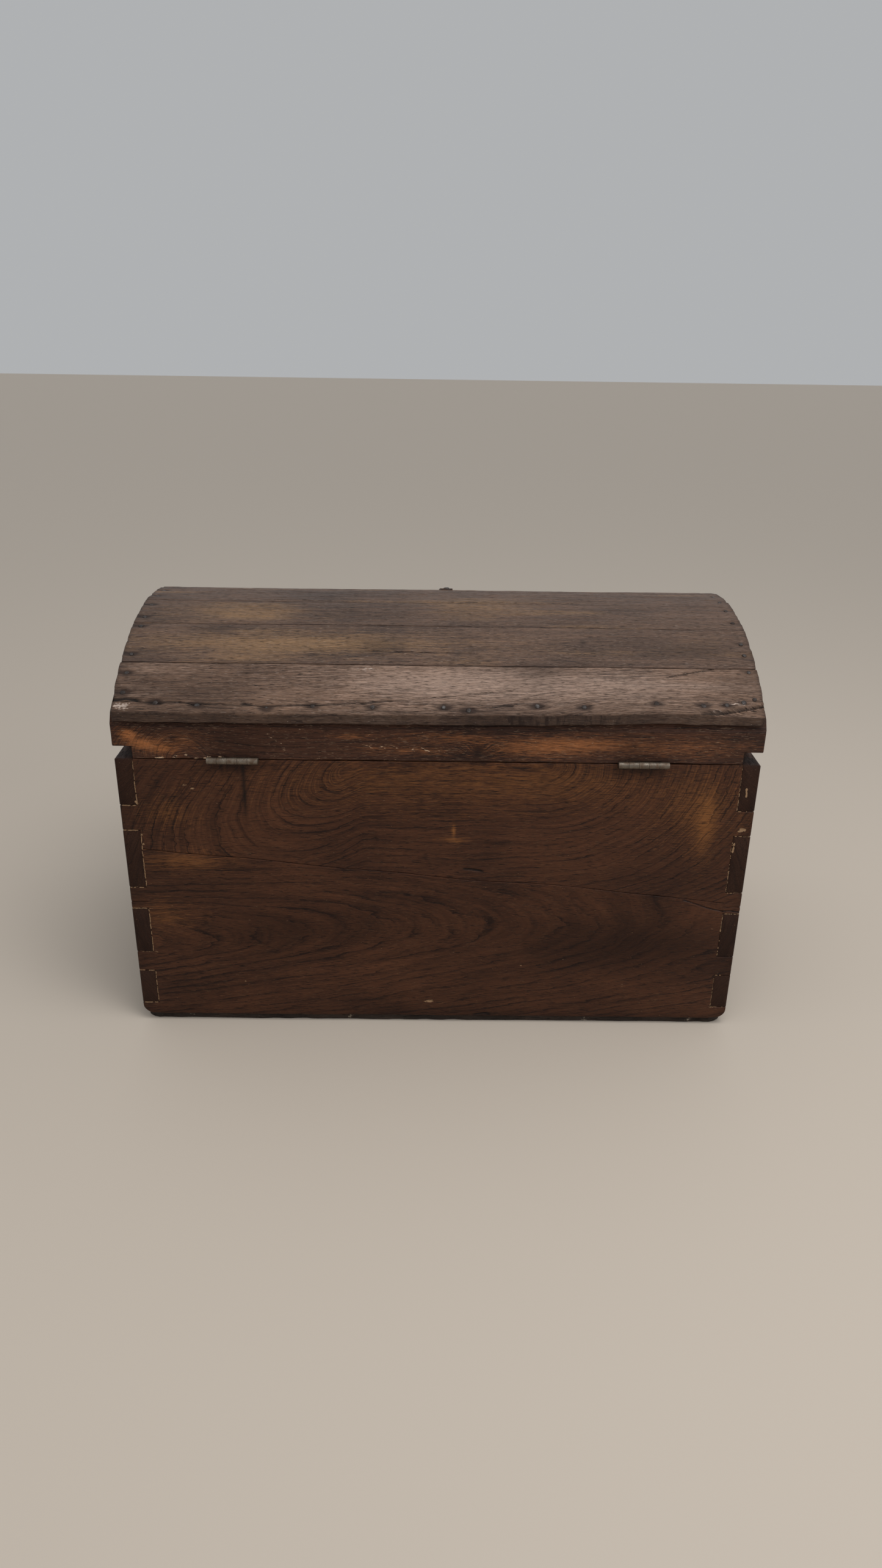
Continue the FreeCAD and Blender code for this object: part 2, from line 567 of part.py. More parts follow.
def make_hasp():
    """Slotted plate that drops over the staple, with a turned-out tip; free, it leans on the staple."""
    y0, y1 = HASP_Y - HASP_T / 2, HASP_Y + HASP_T / 2
    neck = HASP_KNUCKLE_W / 2
    neck_z = HASP_Z - HASP_KNUCKLE_R - 2.5
    tip_z = HASP_Z - HASP_L
    low_z = tip_z + HASP_TIP_W
    outline = [Vec(-neck, y0, HASP_Z), Vec(neck, y0, HASP_Z), Vec(neck, y0, neck_z),
               Vec(HASP_W / 2, y0, neck_z - 7.0), Vec(HASP_W / 2, y0, STAPLE_Z - SLOT_L / 2 - 2.0),
               Vec(HASP_TIP_W / 2, y0, low_z), Vec(HASP_TIP_W / 2, y0, tip_z),
               Vec(-HASP_TIP_W / 2, y0, tip_z), Vec(-HASP_TIP_W / 2, y0, low_z),
               Vec(-HASP_W / 2, y0, STAPLE_Z - SLOT_L / 2 - 2.0), Vec(-HASP_W / 2, y0, neck_z - 7.0),
               Vec(-neck, y0, neck_z)]
    plate = prism(outline, Vec(0, HASP_T, 0))
    barrel = Part.makeCylinder(HASP_KNUCKLE_R, HASP_KNUCKLE_W, Vec(-neck, HASP_Y, HASP_Z), Vec(1, 0, 0))
    curl = Part.makeCylinder(HASP_T * 1.2, HASP_TIP_W, Vec(-HASP_TIP_W / 2, y0 - HASP_T * 0.4, tip_z),
                             Vec(1, 0, 0))
    slot = box(-SLOT_W / 2, SLOT_W / 2, y0 - 1, y1 + 1, STAPLE_Z - SLOT_L / 2 + SLOT_W / 2,
               STAPLE_Z + SLOT_L / 2 - SLOT_W / 2)
    for z in (STAPLE_Z - SLOT_L / 2 + SLOT_W / 2, STAPLE_Z + SLOT_L / 2 - SLOT_W / 2):
        slot = slot.fuse(Part.makeCylinder(SLOT_W / 2, HASP_T + 2, Vec(0, y0 - 1, z), Vec(0, 1, 0)))
    hasp = plate.fuse([barrel, curl]).cut([slot, hasp_bore()]).removeSplitter()
    hasp.rotate(Vec(0, HASP_Y, HASP_Z), Vec(-1, 0, 0), HASP_REST)
    parts["hasp"] = hasp_place(hasp)


def make_staple():
    """A plate nailed to the front board, with a U-shaped staple driven through it."""
    w, h, t = STAPLE_PLATE
    front = -HALF_D
    plate = box(-w / 2, w / 2, front - t, front, STAPLE_Z - h / 2, STAPLE_Z + h / 2)
    corners = [e for e in plate.Edges if abs(e.Vertexes[0].Y - e.Vertexes[-1].Y) > t / 2]
    plate = plate.makeFillet(w / 6, corners)
    bend = STAPLE_SPAN / 2
    nose_y = front - t - STAPLE_OUT + STAPLE_R
    bend_y = nose_y + bend
    root_y = front + STAPLE_IN
    low, high = STAPLE_Z - bend, STAPLE_Z + bend
    path = Part.Wire([Part.makeLine(Vec(0, root_y, high), Vec(0, bend_y, high)),
                      Part.Arc(Vec(0, bend_y, high), Vec(0, nose_y, STAPLE_Z), Vec(0, bend_y, low)).toShape(),
                      Part.makeLine(Vec(0, bend_y, low), Vec(0, root_y, low))])
    profile = Part.Wire(Part.makeCircle(STAPLE_R, Vec(0, root_y, high), Vec(0, 1, 0)))
    parts["staple"] = hasp_place(path.makePipeShell([profile], True, False))
    depth = STAPLE_IN + t + 2
    legs = [Part.makeCylinder(STAPLE_R + NAIL_CLEAR, depth, Vec(HASP_X, front - t - 1, z), Vec(0, 1, 0))
            for z in (low, high)]
    parts["staple_plate"] = hasp_place(plate)
    for name in ("staple_plate", "front_board_upper"):
        parts[name] = parts[name].cut(legs)
    corners = [Vec(HASP_X + sx * w * 0.36, front - t, STAPLE_Z + sz * h * 0.4)
               for sx in (-1, 1) for sz in (-1, 1)]
    nails = [Fastener(corner, Vec(0, 1, 0), PLATE_NAIL) for corner in corners]
    fit_fasteners("staple_plate_nails", nails, ["staple_plate", "front_board_upper"])


# ---- Handles -------------------------------------------------------------

def handle_plate():
    """Right-hand plate with two bored lugs."""
    w, h, t = HANDLE_PLATE
    plate = box(HALF_L, HALF_L + t, -w / 2, w / 2, HANDLE_Z - h / 2, HANDLE_Z + h / 2)
    corners = [e for e in plate.Edges if abs(e.Vertexes[0].X - e.Vertexes[-1].X) > t / 2]
    plate = plate.makeFillet(h / 4, corners)
    for side in (-1, 1):
        y0 = side * LUG_Y - LUG_W / 2
        lug = Part.makeCylinder(LUG_R, LUG_W, Vec(BAIL_X, y0, HANDLE_Z), Vec(0, 1, 0))
        foot = box(HALF_L + t / 2, BAIL_X, y0, y0 + LUG_W, HANDLE_Z - LUG_R, HANDLE_Z + LUG_R)
        plate = plate.fuse([lug, foot])
    bore = Part.makeCylinder(BAIL_R + BAIL_PIN_CLEAR, w, Vec(BAIL_X, -w / 2, HANDLE_Z), Vec(0, 1, 0))
    return plate.cut(bore).removeSplitter()


def bail():
    """Right-hand bail: round bar, pins turned inwards through the lugs, hanging down."""
    z_low = HANDLE_Z - BAIL_DROP
    end_y = LUG_Y - LUG_W / 2 - 3.0

    def corner(y_from, z_from, y_to, z_to, radius, centre_y, centre_z):
        mid = Vec(0, (y_from + y_to) / 2 - centre_y, (z_from + z_to) / 2 - centre_z).normalize() * radius
        return Part.Arc(Vec(BAIL_X, y_from, z_from), Vec(BAIL_X, centre_y, centre_z) + mid,
                        Vec(BAIL_X, y_to, z_to)).toShape()

    def line(y_from, z_from, y_to, z_to):
        return Part.makeLine(Vec(BAIL_X, y_from, z_from), Vec(BAIL_X, y_to, z_to))

    top = BAIL_ARM_Y - BAIL_SHOULDER
    low = BAIL_ARM_Y - BAIL_BEND
    edges = [line(end_y, HANDLE_Z, top, HANDLE_Z),
             corner(top, HANDLE_Z, BAIL_ARM_Y, HANDLE_Z - BAIL_SHOULDER, BAIL_SHOULDER,
                    top, HANDLE_Z - BAIL_SHOULDER),
             line(BAIL_ARM_Y, HANDLE_Z - BAIL_SHOULDER, BAIL_ARM_Y, z_low + BAIL_BEND),
             corner(BAIL_ARM_Y, z_low + BAIL_BEND, low, z_low, BAIL_BEND, low, z_low + BAIL_BEND),
             line(low, z_low, 0, z_low)]
    path = Part.Wire(edges)
    profile = Part.Wire(Part.makeCircle(BAIL_R, Vec(BAIL_X, end_y, HANDLE_Z), Vec(0, 1, 0)))
    half = path.makePipeShell([profile], True, False)
    return half.fuse(mirror_y(half)).removeSplitter()


def make_handles():
    """A drop handle on each end of the chest."""
    w, h, t = HANDLE_PLATE
    plate = handle_plate()
    ring = bail()
    nails = [Fastener(Vec(HALF_L + t, sy * w * 0.42, HANDLE_Z + sz * h * 0.32), Vec(-1, 0, 0), PLATE_NAIL)
             for sy in (-1, 1) for sz in (-1, 1)]
    nails += [Fastener(Vec(HALF_L + t, 0, HANDLE_Z + sz * h * 0.32), Vec(-1, 0, 0), PLATE_NAIL)
              for sz in (-1, 1)]
    parts["right_handle_plate"] = plate
    boards = ["end_board_lower", "end_board_upper"]
    fit_fasteners("right_handle_nails", nails, ["right_handle_plate"] + ["right_" + b for b in boards])
    for piece in ("handle_plate", "handle_nails"):
        parts["left_" + piece] = mirror_x(parts["right_" + piece])
    for board in boards:
        parts["left_" + board] = parts["left_" + board].cut([mirror_x(f.hole()) for f in nails])
    parts["right_handle_bail"] = ring
    parts["left_handle_bail"] = mirror_x(ring)


make_end_boards()
make_long_boards()
make_bottom()
make_staves()
make_lid_ends()
make_rails()
nail_lid()
make_hinges()
make_strap()
make_hasp()
make_staple()
make_handles()

os.makedirs("parts", exist_ok=True)
for node, shape in sorted(parts.items()):
    shape.exportStep("parts/%s.step" % node)
    print("%-24s solids %2d valid %s volume %.0f" % (node, len(shape.Solids), shape.isValid(), shape.Volume))
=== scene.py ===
import math

import bmesh
import bpy
import numpy as np
from mathutils import Matrix, Vector


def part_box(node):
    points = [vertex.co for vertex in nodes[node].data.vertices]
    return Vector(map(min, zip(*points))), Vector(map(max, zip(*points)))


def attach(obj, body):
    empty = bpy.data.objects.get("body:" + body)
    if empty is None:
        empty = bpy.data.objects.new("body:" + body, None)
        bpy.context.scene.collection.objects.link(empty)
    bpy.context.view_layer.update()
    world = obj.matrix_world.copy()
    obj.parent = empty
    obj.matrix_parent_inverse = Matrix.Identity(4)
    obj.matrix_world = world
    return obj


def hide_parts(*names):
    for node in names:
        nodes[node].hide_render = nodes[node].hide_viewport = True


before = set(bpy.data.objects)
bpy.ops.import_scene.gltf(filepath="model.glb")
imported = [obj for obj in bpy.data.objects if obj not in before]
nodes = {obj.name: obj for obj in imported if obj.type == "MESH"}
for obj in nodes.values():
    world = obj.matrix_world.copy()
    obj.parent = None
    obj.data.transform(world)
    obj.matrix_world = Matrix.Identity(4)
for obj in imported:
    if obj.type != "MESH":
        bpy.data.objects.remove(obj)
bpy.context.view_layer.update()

# ---- Room ------------------------------------------------------------------
# The chest stands on a plain pale floor with its hinge side towards the viewer, under soft
# even light from above and from the viewer's right.

EYE = Vector((0.0079, 1.5238, 0.9375))
LOOK_DOWN = 0.41047                 # radians, as are the next two
LOOK_ASIDE = 0.00916
TILT = 0.01439
LENS = 24.16                        # millimetres

scene = bpy.context.scene
ahead = Vector((-math.sin(LOOK_ASIDE) * math.cos(LOOK_DOWN),
                -math.cos(LOOK_ASIDE) * math.cos(LOOK_DOWN), -math.sin(LOOK_DOWN)))
level = Vector((-math.cos(LOOK_ASIDE), math.sin(LOOK_ASIDE), 0.0))
above = level.cross(ahead)
right_hand = level * math.cos(TILT) + above * math.sin(TILT)
upright = above * math.cos(TILT) - level * math.sin(TILT)
camera = bpy.data.objects.new("viewer", bpy.data.cameras.new("viewer"))
camera.data.lens = LENS
camera.data.clip_end = 50.0
turn = Matrix((right_hand, upright, -ahead)).transposed().to_4x4()
camera.matrix_world = Matrix.Translation(EYE) @ turn
scene.collection.objects.link(camera)
scene.camera = camera
scene.view_settings.view_transform = "Standard"


def soft_lamp(name, place, aim, size, power, tint=(1.0, 1.0, 1.0)):
    lamp = bpy.data.lights.new(name, "AREA")
    lamp.shape = "DISK"
    lamp.size = size
    lamp.energy = power
    lamp.color = tint
    holder = bpy.data.objects.new(name, lamp)
    holder.location = place
    holder.rotation_euler = (Vector(aim) - Vector(place)).to_track_quat("-Z", "Y").to_euler()
    scene.collection.objects.link(holder)


soft_lamp("ceiling_light", (-0.5, 0.9, 2.6), (0, 0, 0.3), 1.6, 26.0)
soft_lamp("window_light", (-1.9, 1.9, 1.7), (0, 0.1, 0.3), 1.6, 15.0)

sky = bpy.data.worlds.new("room")
scene.world = sky
sky.use_nodes = True
sky_nodes = sky.node_tree
room_light = sky_nodes.nodes["Background"]
room_light.inputs["Color"].default_value = (0.96, 0.98, 1.0, 1.0)
room_light.inputs["Strength"].default_value = 0.62
seen = sky_nodes.nodes.new("ShaderNodeBackground")
seen.inputs["Color"].default_value = (0.43, 0.44, 0.45, 1.0)
direct = sky_nodes.nodes.new("ShaderNodeLightPath")
either = sky_nodes.nodes.new("ShaderNodeMixShader")
sky_nodes.links.new(direct.outputs["Is Camera Ray"], either.inputs[0])
sky_nodes.links.new(room_light.outputs[0], either.inputs[1])
sky_nodes.links.new(seen.outputs[0], either.inputs[2])
sky_nodes.links.new(either.outputs[0], sky_nodes.nodes["World Output"].inputs["Surface"])

FLOOR_COLOUR = (0.53, 0.46, 0.385, 1.0)
bpy.ops.mesh.primitive_plane_add(size=40.0, location=(0, 0, 0))
floor = bpy.context.object
floor.name = "floor"
floor_finish = bpy.data.materials.new("pale_floor")
floor_finish.use_nodes = True
shader = floor_finish.node_tree.nodes["Principled BSDF"]
shader.inputs["Base Color"].default_value = FLOOR_COLOUR
shader.inputs["Roughness"].default_value = 0.8
floor.data.materials.append(floor_finish)


# ---- Back wall ---------------------------------------------------------------
# Two wide oak boards laid on edge, joined by a line that slopes down to the left end of the chest.
# At each corner their pins run out between the tails of the end boards.  Dark stain over wax, rubbed
# through to a golden brown in places.

BOTTOM_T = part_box("bottom_board_1")[1].z
wall_low, wall_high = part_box("back_board_upper")
BODY_TOP = wall_high.z
HALF_L = wall_high.x
HALF_D = wall_high.y
WALL_T = wall_high.y - wall_low.y
IN_D = HALF_D - WALL_T
END_T = 0.024
IN_L = HALF_L - END_T


FIELD = 97                          # the random field repeats after this many steps


def wander(u, s, step_u, step_s, seed):
    """Smooth random field between -1 and 1 with this grain length along and across."""
    grid = np.random.default_rng(seed).uniform(-1.0, 1.0, (FIELD, FIELD))
    a, b = np.asarray(u) / step_u + 31.3, np.asarray(s) / step_s + 17.7
    i, j = np.floor(a).astype(int), np.floor(b).astype(int)
    fa, fb = a - i, b - j
    fa, fb = fa * fa * (3 - 2 * fa), fb * fb * (3 - 2 * fb)
    i0, i1, j0, j1 = i % FIELD, (i + 1) % FIELD, j % FIELD, (j + 1) % FIELD
    near = grid[i0, j0] * (1 - fb) + grid[i0, j1] * fb
    far = grid[i1, j0] * (1 - fb) + grid[i1, j1] * fb
    return near * (1 - fa) + far * fa


def spot(u, s, cu, cs, ru, rs):
    """A soft round patch."""
    return np.exp(-((u - cu) / ru) ** 2 - ((s - cs) / rs) ** 2)


def patches(u, s, rows):
    """Sum of soft patches; each row is strength, middle along and across, reach along and across."""
    return sum(row[0] * spot(u, s, *row[1:]) for row in rows)


def fade(distance, reach):
    """1 at no distance, falling straight to 0 at this reach."""
    return np.clip(1 - distance / reach, 0, 1)


def clouds(u, s, along, across, seed, gain, cut):
    """Patches left when a smooth random field is raised by a gain and cut off."""
    return np.clip(wander(u, s, along, across, seed) * gain - cut, 0, 1)


def crack(u, s, path, width, seed=3, wobble=0.0012):
    """1 on a line through these points, falling to 0 at its width."""
    s = s + wander(u, s * 0, 0.011, 1.0, seed) * wobble
    best = np.full(np.shape(u), 1e9)
    for (u0, s0), (u1, s1) in zip(path, path[1:]):
        du, ds = u1 - u0, s1 - s0
        k = np.clip(((u - u0) * du + (s - s0) * ds) / (du * du + ds * ds), 0, 1)
        best = np.minimum(best, np.hypot(u - u0 - k * du, s - s0 - k * ds))
    return np.clip(1.0 - best / width, 0, 1) ** 0.7


def section_loop(n_face, n_side, n_back):
    """Points round a board's section: share across, arris shift across, share of thickness, arris shift."""
    pts = []
    corner = [math.radians(a) for a in (22.5, 45.0, 67.5)]
    for i in range(n_face):
        f = i / (n_face - 1)
        pts.append((f, 1 - 2 * f, 1.0, 0.0))
    pts += [(1.0, math.sin(a) - 1, 1.0, math.cos(a) - 1) for a in corner]
    for i in range(n_side):
        f = 1 - i / (n_side - 1)
        pts.append((1.0, 0.0, f, 1 - 2 * f))
    pts += [(1.0, math.cos(a) - 1, 0.0, 1 - math.sin(a)) for a in corner]
    for i in range(n_back):
        f = 1 - i / (n_back - 1)
        pts.append((f, 1 - 2 * f, 0.0, 0.0))
    pts += [(0.0, 1 - math.sin(a), 0.0, 1 - math.cos(a)) for a in corner]
    for i in range(n_side):
        f = i / (n_side - 1)
        pts.append((0.0, 0.0, f, 1 - 2 * f))
    pts += [(0.0, 1 - math.cos(a), 1.0, math.sin(a) - 1) for a in corner]
    return np.array(pts).T


def board(along, low, high, thick, place, step=(0.004, 0.0014), arris=0.0012, shape=None, paint=None,
          ring=None, round_ends=(True, True), extra=(), sides=5, back=14, seed=1):
    """One board: stations along the grain, a section at each, worn arrises; returns its mesh parts."""
    a, b = along
    end_r = arris * 1.2
    stations = np.linspace(a, b, max(3, int(round((b - a) / step[0])) + 1))
    ends = [a + end_r * k for k in (0.3, 0.7, 1.0)] + [b - end_r * k for k in (0.3, 0.7, 1.0)]
    stations = np.unique(np.round(np.concatenate([stations, ends, list(extra)]), 6))
    lo = np.array([low(x) if callable(low) else low for x in stations])
    hi = np.array([high(x) if callable(high) else high for x in stations])
    n_face = max(4, int(round((hi.max() - lo.min()) / step[1])) + 1)
    fs, ks, ft, kt = section_loop(n_face, sides, back)
    r = arris * (1.0 + 0.55 * wander(stations, stations * 0, 0.03, 1.0, seed))
    inset = np.zeros(len(stations))
    for rounded, from_end in zip(round_ends, (stations - a, b - stations)):
        if rounded:
            d = np.clip(from_end, 0, end_r)
            inset += end_r - np.sqrt(np.maximum(0.0, end_r ** 2 - (end_r - d) ** 2))
    lo, hi, top = lo + inset, hi - inset, thick - inset
    s = lo[:, None] + (hi - lo)[:, None] * fs + r[:, None] * ks
    t = inset[:, None] + (top - inset)[:, None] * ft + r[:, None] * kt
    u = np.repeat(stations[:, None], s.shape[1], 1)
    grain = np.stack([u, s, t], -1)
    outer = np.clip((ft + kt * 0.2 - 0.6) * 2.5, 0, 1)[None, :] * np.ones_like(u)
    marks = np.zeros(u.shape + (4,)) if paint is None else paint(u, s, t)
    rings = s / 0.004 if ring is None else ring(u, s, t)
    if shape is not None:
        u, s, t = shape(u, s, t, outer)
    xyz = np.stack(place(u, s, t), -1)
    n, m = u.shape
    verts = xyz.reshape(-1, 3)
    i, j = np.meshgrid(np.arange(n - 1), np.arange(m), indexing="ij")
    j2 = (j + 1) % m
    faces = np.stack([i * m + j, i * m + j2, (i + 1) * m + j2, (i + 1) * m + j], -1).reshape(-1, 4)
    caps = [verts[:m].mean(0), verts[-m:].mean(0)]
    loops = []
    for k in range(m):
        loops.append((n * m, (k + 1) % m, k))
        loops.append((n * m + 1, (n - 1) * m + k, (n - 1) * m + (k + 1) % m))
    flat = grain.reshape(-1, 3)
    shade = marks.reshape(-1, 4)
    line = rings.reshape(-1)
    return {"verts": np.vstack([verts, caps]), "quads": faces, "tris": np.array(loops),
            "grain": np.vstack([flat, flat[:m].mean(0), flat[-m:].mean(0)]),
            "ring": np.append(line, [line[:m].mean(), line[-m:].mean()]),
            "marks": np.vstack([shade, shade[:m].mean(0), shade[-m:].mean(0)])}


def build(name, boards, finish, stands_for, body, sharp=40.0):
    """Joins a piece's boards into a mesh, carries their grain to the finish, hangs it on its body."""
    verts, faces, grain, ring, marks = [], [], [], [], []
    base = 0
    for b in boards:
        verts.append(b["verts"])
        faces += (b["quads"] + base).tolist() + (b["tris"] + base).tolist()
        grain.append(b["grain"])
        ring.append(b["ring"])
        marks.append(b["marks"])
        base += len(b["verts"])
    mesh = bpy.data.meshes.new(name)
    mesh.from_pydata(np.vstack(verts).tolist(), [], faces)
    for layer, kind, field, values in (
            ("grain", "FLOAT_VECTOR", "vector", np.vstack(grain)),
            ("ring", "FLOAT", "value", np.concatenate(ring)),
            ("marks", "FLOAT_COLOR", "color", np.clip(np.vstack(marks), 0, 1))):
        mesh.attributes.new(layer, kind, "POINT").data.foreach_set(field, values.astype(np.float32).ravel())
    knit = bmesh.new()
    knit.from_mesh(mesh)
    bmesh.ops.recalc_face_normals(knit, faces=knit.faces)
    knit.to_mesh(mesh)
    knit.free()
    mesh.shade_smooth()
    mesh.set_sharp_from_angle(angle=math.radians(sharp))
    mesh.materials.append(finish)
    piece = bpy.data.objects.new(name, mesh)
    scene.collection.objects.link(piece)
    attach(piece, body)
    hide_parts(*stands_for)
    return piece


# Open splits are painted this near-black: painted shade inside their gaps.
SPLIT_SHADE_BLACK = (0.004, 0.003, 0.003)
PORE_SHADE = 0.25                   # pores are this share of the dark tone
GRIME_AND_SHADE_TONE = (0.55, 0.42, 0.34)    # and grime and painted shade are this share, warmer


def oak(name, dark, light, worn_and_sheen, pale, ring_share, relief, rough, shine=0.5, seed=0.0,
        tick_share=0.12, texture=0.5):
    """Oak under its finish: growth rings, fibres, pores, then rubbed places and painted sheen, dirty places
    and painted shade, pale places, and cracks painted near-black as shade in their gaps.
    """
    mat = bpy.data.materials.new(name)
    mat.use_nodes = True
    tree = mat.node_tree
    bsdf = tree.nodes["Principled BSDF"]

    def node(kind, **values):
        made = tree.nodes.new(kind)
        for key, value in values.items():
            setattr(made, key, value)
        return made

    def plug(source, target):
        tree.links.new(source, target)

    def calc(operation, a, b=None, c=None, clamp=False):
        made = node("ShaderNodeMath", operation=operation, use_clamp=clamp)
        for slot_no, value in enumerate((a, b, c)):
            if value is None:
                continue
            if isinstance(value, (int, float)):
                made.inputs[slot_no].default_value = value
            else:
                plug(value, made.inputs[slot_no])
        return made.outputs[0]

    def blend(share, one, two, how="MIX"):
        made = node("ShaderNodeMix", data_type="RGBA", blend_type=how)
        for slot_no, value in ((0, share), (6, one), (7, two)):
            if isinstance(value, (int, float)):
                made.inputs[slot_no].default_value = value
            elif isinstance(value, tuple):
                made.inputs[slot_no].default_value = value + (1.0,)
            else:
                plug(value, made.inputs[slot_no])
        return made.outputs[2]

    grain = node("ShaderNodeAttribute", attribute_name="grain").outputs["Vector"]
    rings = node("ShaderNodeAttribute", attribute_name="ring").outputs["Fac"]
    marks = node("ShaderNodeAttribute", attribute_name="marks")
    where = node("ShaderNodeSeparateXYZ")
    plug(grain, where.inputs[0])
    split = node("ShaderNodeSeparateColor")
    plug(marks.outputs["Color"], split.inputs[0])
    # The first channel carries rub-through and painted sheen, the second grime and painted shade, the alpha
    # the open splits, painted near-black as shade in their gaps.
    rubbed_and_sheen, dirt_and_shade, bare = split.outputs[0], split.outputs[1], split.outputs[2]
    split_shade = marks.outputs["Alpha"]

    def cloud(vector, detail, rough_share):
        made = node("ShaderNodeTexNoise")
        made.inputs["Scale"].default_value = 1.0
        made.inputs["Detail"].default_value = detail
        made.inputs["Roughness"].default_value = rough_share
        plug(vector, made.inputs["Vector"])
        return made.outputs["Fac"]

    def noise(scale, detail=3.0, rough_share=0.55, shift=0.0):
        """Noise that follows the board's edges; the scale is per metre along, across and into it."""
        stretch = node("ShaderNodeMapping")
        stretch.inputs["Location"].default_value = (seed + shift, seed * 1.7, shift)
        stretch.inputs["Scale"].default_value = scale
        plug(grain, stretch.inputs[0])
        return cloud(stretch.outputs[0], detail, rough_share)

    def figure(along, across, detail, rough_share, shift):
        """Streaks that follow the growth rings; the scale is per metre along and per ring across."""
        stretch = node("ShaderNodeCombineXYZ")
        plug(calc("MULTIPLY_ADD", where.outputs["X"], along, seed + shift), stretch.inputs[0])
        plug(calc("MULTIPLY_ADD", rings, across, shift), stretch.inputs[1])
        plug(calc("MULTIPLY", where.outputs["Z"], 40.0), stretch.inputs[2])
        return cloud(stretch.outputs[0], detail, rough_share)

    def spread(value, low, high):
        """Stretches the part of a value between low and high to 0 and 1."""
        return calc("MULTIPLY_ADD", value, 1.0 / (high - low), -low / (high - low), clamp=True)

    # Fields, from the broadest clouds to single fibres, pores and pale ticks.
    broad = spread(noise((6.0, 10.0, 10.0), 3.0), 0.30, 0.70)
    bend = noise((3.0, 22.0, 22.0), 1.0, 0.5, 2.0)
    wobble = noise((24.0, 120.0, 120.0), 3.0, 0.6, 5.0)
    fibre = noise((70.0, 1300.0, 1300.0), 3.0, 0.65, 7.3)
    streak = spread(figure(7.0, 1.7, 6.0, 0.66, 3.1), 0.30, 0.70)
    strand = spread(figure(26.0, 6.5, 5.0, 0.70, 6.4), 0.34, 0.66)
    pore = noise((85.0, 1150.0, 1150.0), 2.0, 0.5, 11.0)
    pore = calc("MULTIPLY", calc("SUBTRACT", pore, 0.585), 16.0, clamp=True)
    tick = spread(noise((120.0, 1300.0, 1300.0), 1.0, 0.5, 23.0), 0.655, 0.70)
    speck = noise((260.0, 520.0, 520.0), 3.0, 0.6, 31.0)

    # A dark line where each ring begins, fading inwards, strong in some places and lost in others.
    strength = spread(figure(11.0, 0.9, 4.0, 0.65, 9.7), 0.42, 0.60)
    shifted = calc("ADD", rings, calc("MULTIPLY_ADD", wobble, 0.9, calc("MULTIPLY", bend, 1.6)))
    early = calc("POWER", calc("SUBTRACT", 1.0, calc("FRACT", shifted)), 6.0)
    ring_line = calc("MULTIPLY", early, strength)

    # The clean wood's tone, between dark and light.
    tone = calc("MULTIPLY_ADD", streak, 0.44, calc("MULTIPLY", broad, 0.42))
    tone = calc("ADD", tone, calc("MULTIPLY_ADD", strand, texture, -0.5 * texture))
    tone = calc("ADD", tone, calc("MULTIPLY_ADD", fibre, 1.5 * texture, -0.65 * texture))
    tone = calc("SUBTRACT", tone, calc("MULTIPLY", ring_line, ring_share), clamp=True)
    colour = blend(tone, dark, light)

    # Wear and painted sheen break along the fibres; then ticks, pores, grime and painted shade, bare or
    # filled places, and open splits painted near-black as shade in their gaps.
    ragged = calc("MULTIPLY_ADD", strand, 0.5, calc("MULTIPLY_ADD", fibre, 1.6, -1.15))
    rub_and_sheen = calc("MULTIPLY", calc("ADD", rubbed_and_sheen, ragged), calc("GREATER_THAN", rubbed_and_sheen, 0.02))
    off_lines = calc("MULTIPLY_ADD", ring_line, -0.8, 1.0)
    rub_and_sheen = calc("MULTIPLY", calc("MULTIPLY", rub_and_sheen, 1.2, clamp=True), off_lines)
    colour = blend(rub_and_sheen, colour, worn_and_sheen)
    colour = blend(calc("MULTIPLY", tick, tick_share), colour, pale)
    colour = blend(calc("MULTIPLY", pore, 0.75), colour, tuple(PORE_SHADE * c for c in dark))
    grime_and_shade = calc("MULTIPLY", dirt_and_shade, calc("MULTIPLY_ADD", strand, 0.5, 0.6), clamp=True)
    colour = blend(grime_and_shade, colour, tuple(c * k for c, k in zip(dark, GRIME_AND_SHADE_TONE)))
    crumbled = calc("MULTIPLY_ADD", speck, 1.8, calc("MULTIPLY_ADD", fibre, 0.8, -1.72))
    chalk = calc("MULTIPLY", calc("ADD", bare, crumbled), 5.0, clamp=True)
    colour = blend(chalk, colour, pale)
    colour = blend(split_shade, colour, SPLIT_SHADE_BLACK)
    plug(colour, bsdf.inputs["Base Color"])

    dull = calc("MULTIPLY_ADD", strand, 0.2, rough - 0.10)
    plug(calc("ADD", dull, calc("MULTIPLY", pore, 0.2), clamp=True), bsdf.inputs["Roughness"])
    bsdf.inputs["Specular IOR Level"].default_value = shine
    height = calc("MULTIPLY_ADD", ring_line, -0.6, calc("MULTIPLY", strand, 0.7))
    height = calc("ADD", height, calc("MULTIPLY", fibre, 0.6))
    height = calc("SUBTRACT", height, calc("MULTIPLY", pore, 0.5))
    bump = node("ShaderNodeBump")
    bump.inputs["Strength"].default_value = 1.0
    bump.inputs["Distance"].default_value = relief
    plug(height, bump.inputs["Height"])
    plug(bump.outputs[0], bsdf.inputs["Normal"])
    return mat


wall_finish = oak("stained_wall_oak", (0.0160, 0.0058, 0.0036), (0.100, 0.0370, 0.0165), (0.19, 0.074, 0.022),
                  (0.27, 0.165, 0.090), 0.75, 0.00020, 0.46, 0.17, texture=0.26)

# Dovetail heights follow the wall, as the joiner set them out from the bottom edge.
HALF_PIN = 19.0
TAILS = (55.0, 71.0, 88.0, 67.0)
PINS = (31.0, 33.0, 37.0)
unit = (BODY_TOP - BOTTOM_T) / (HALF_PIN + sum(TAILS) + sum(PINS))
tail_spans = []
height_now = BOTTOM_T + HALF_PIN * unit
for tail, pin in zip(TAILS, PINS + (0.0,)):
    tail_spans.append((height_now, height_now + tail * unit))
    height_now += (tail + pin) * unit

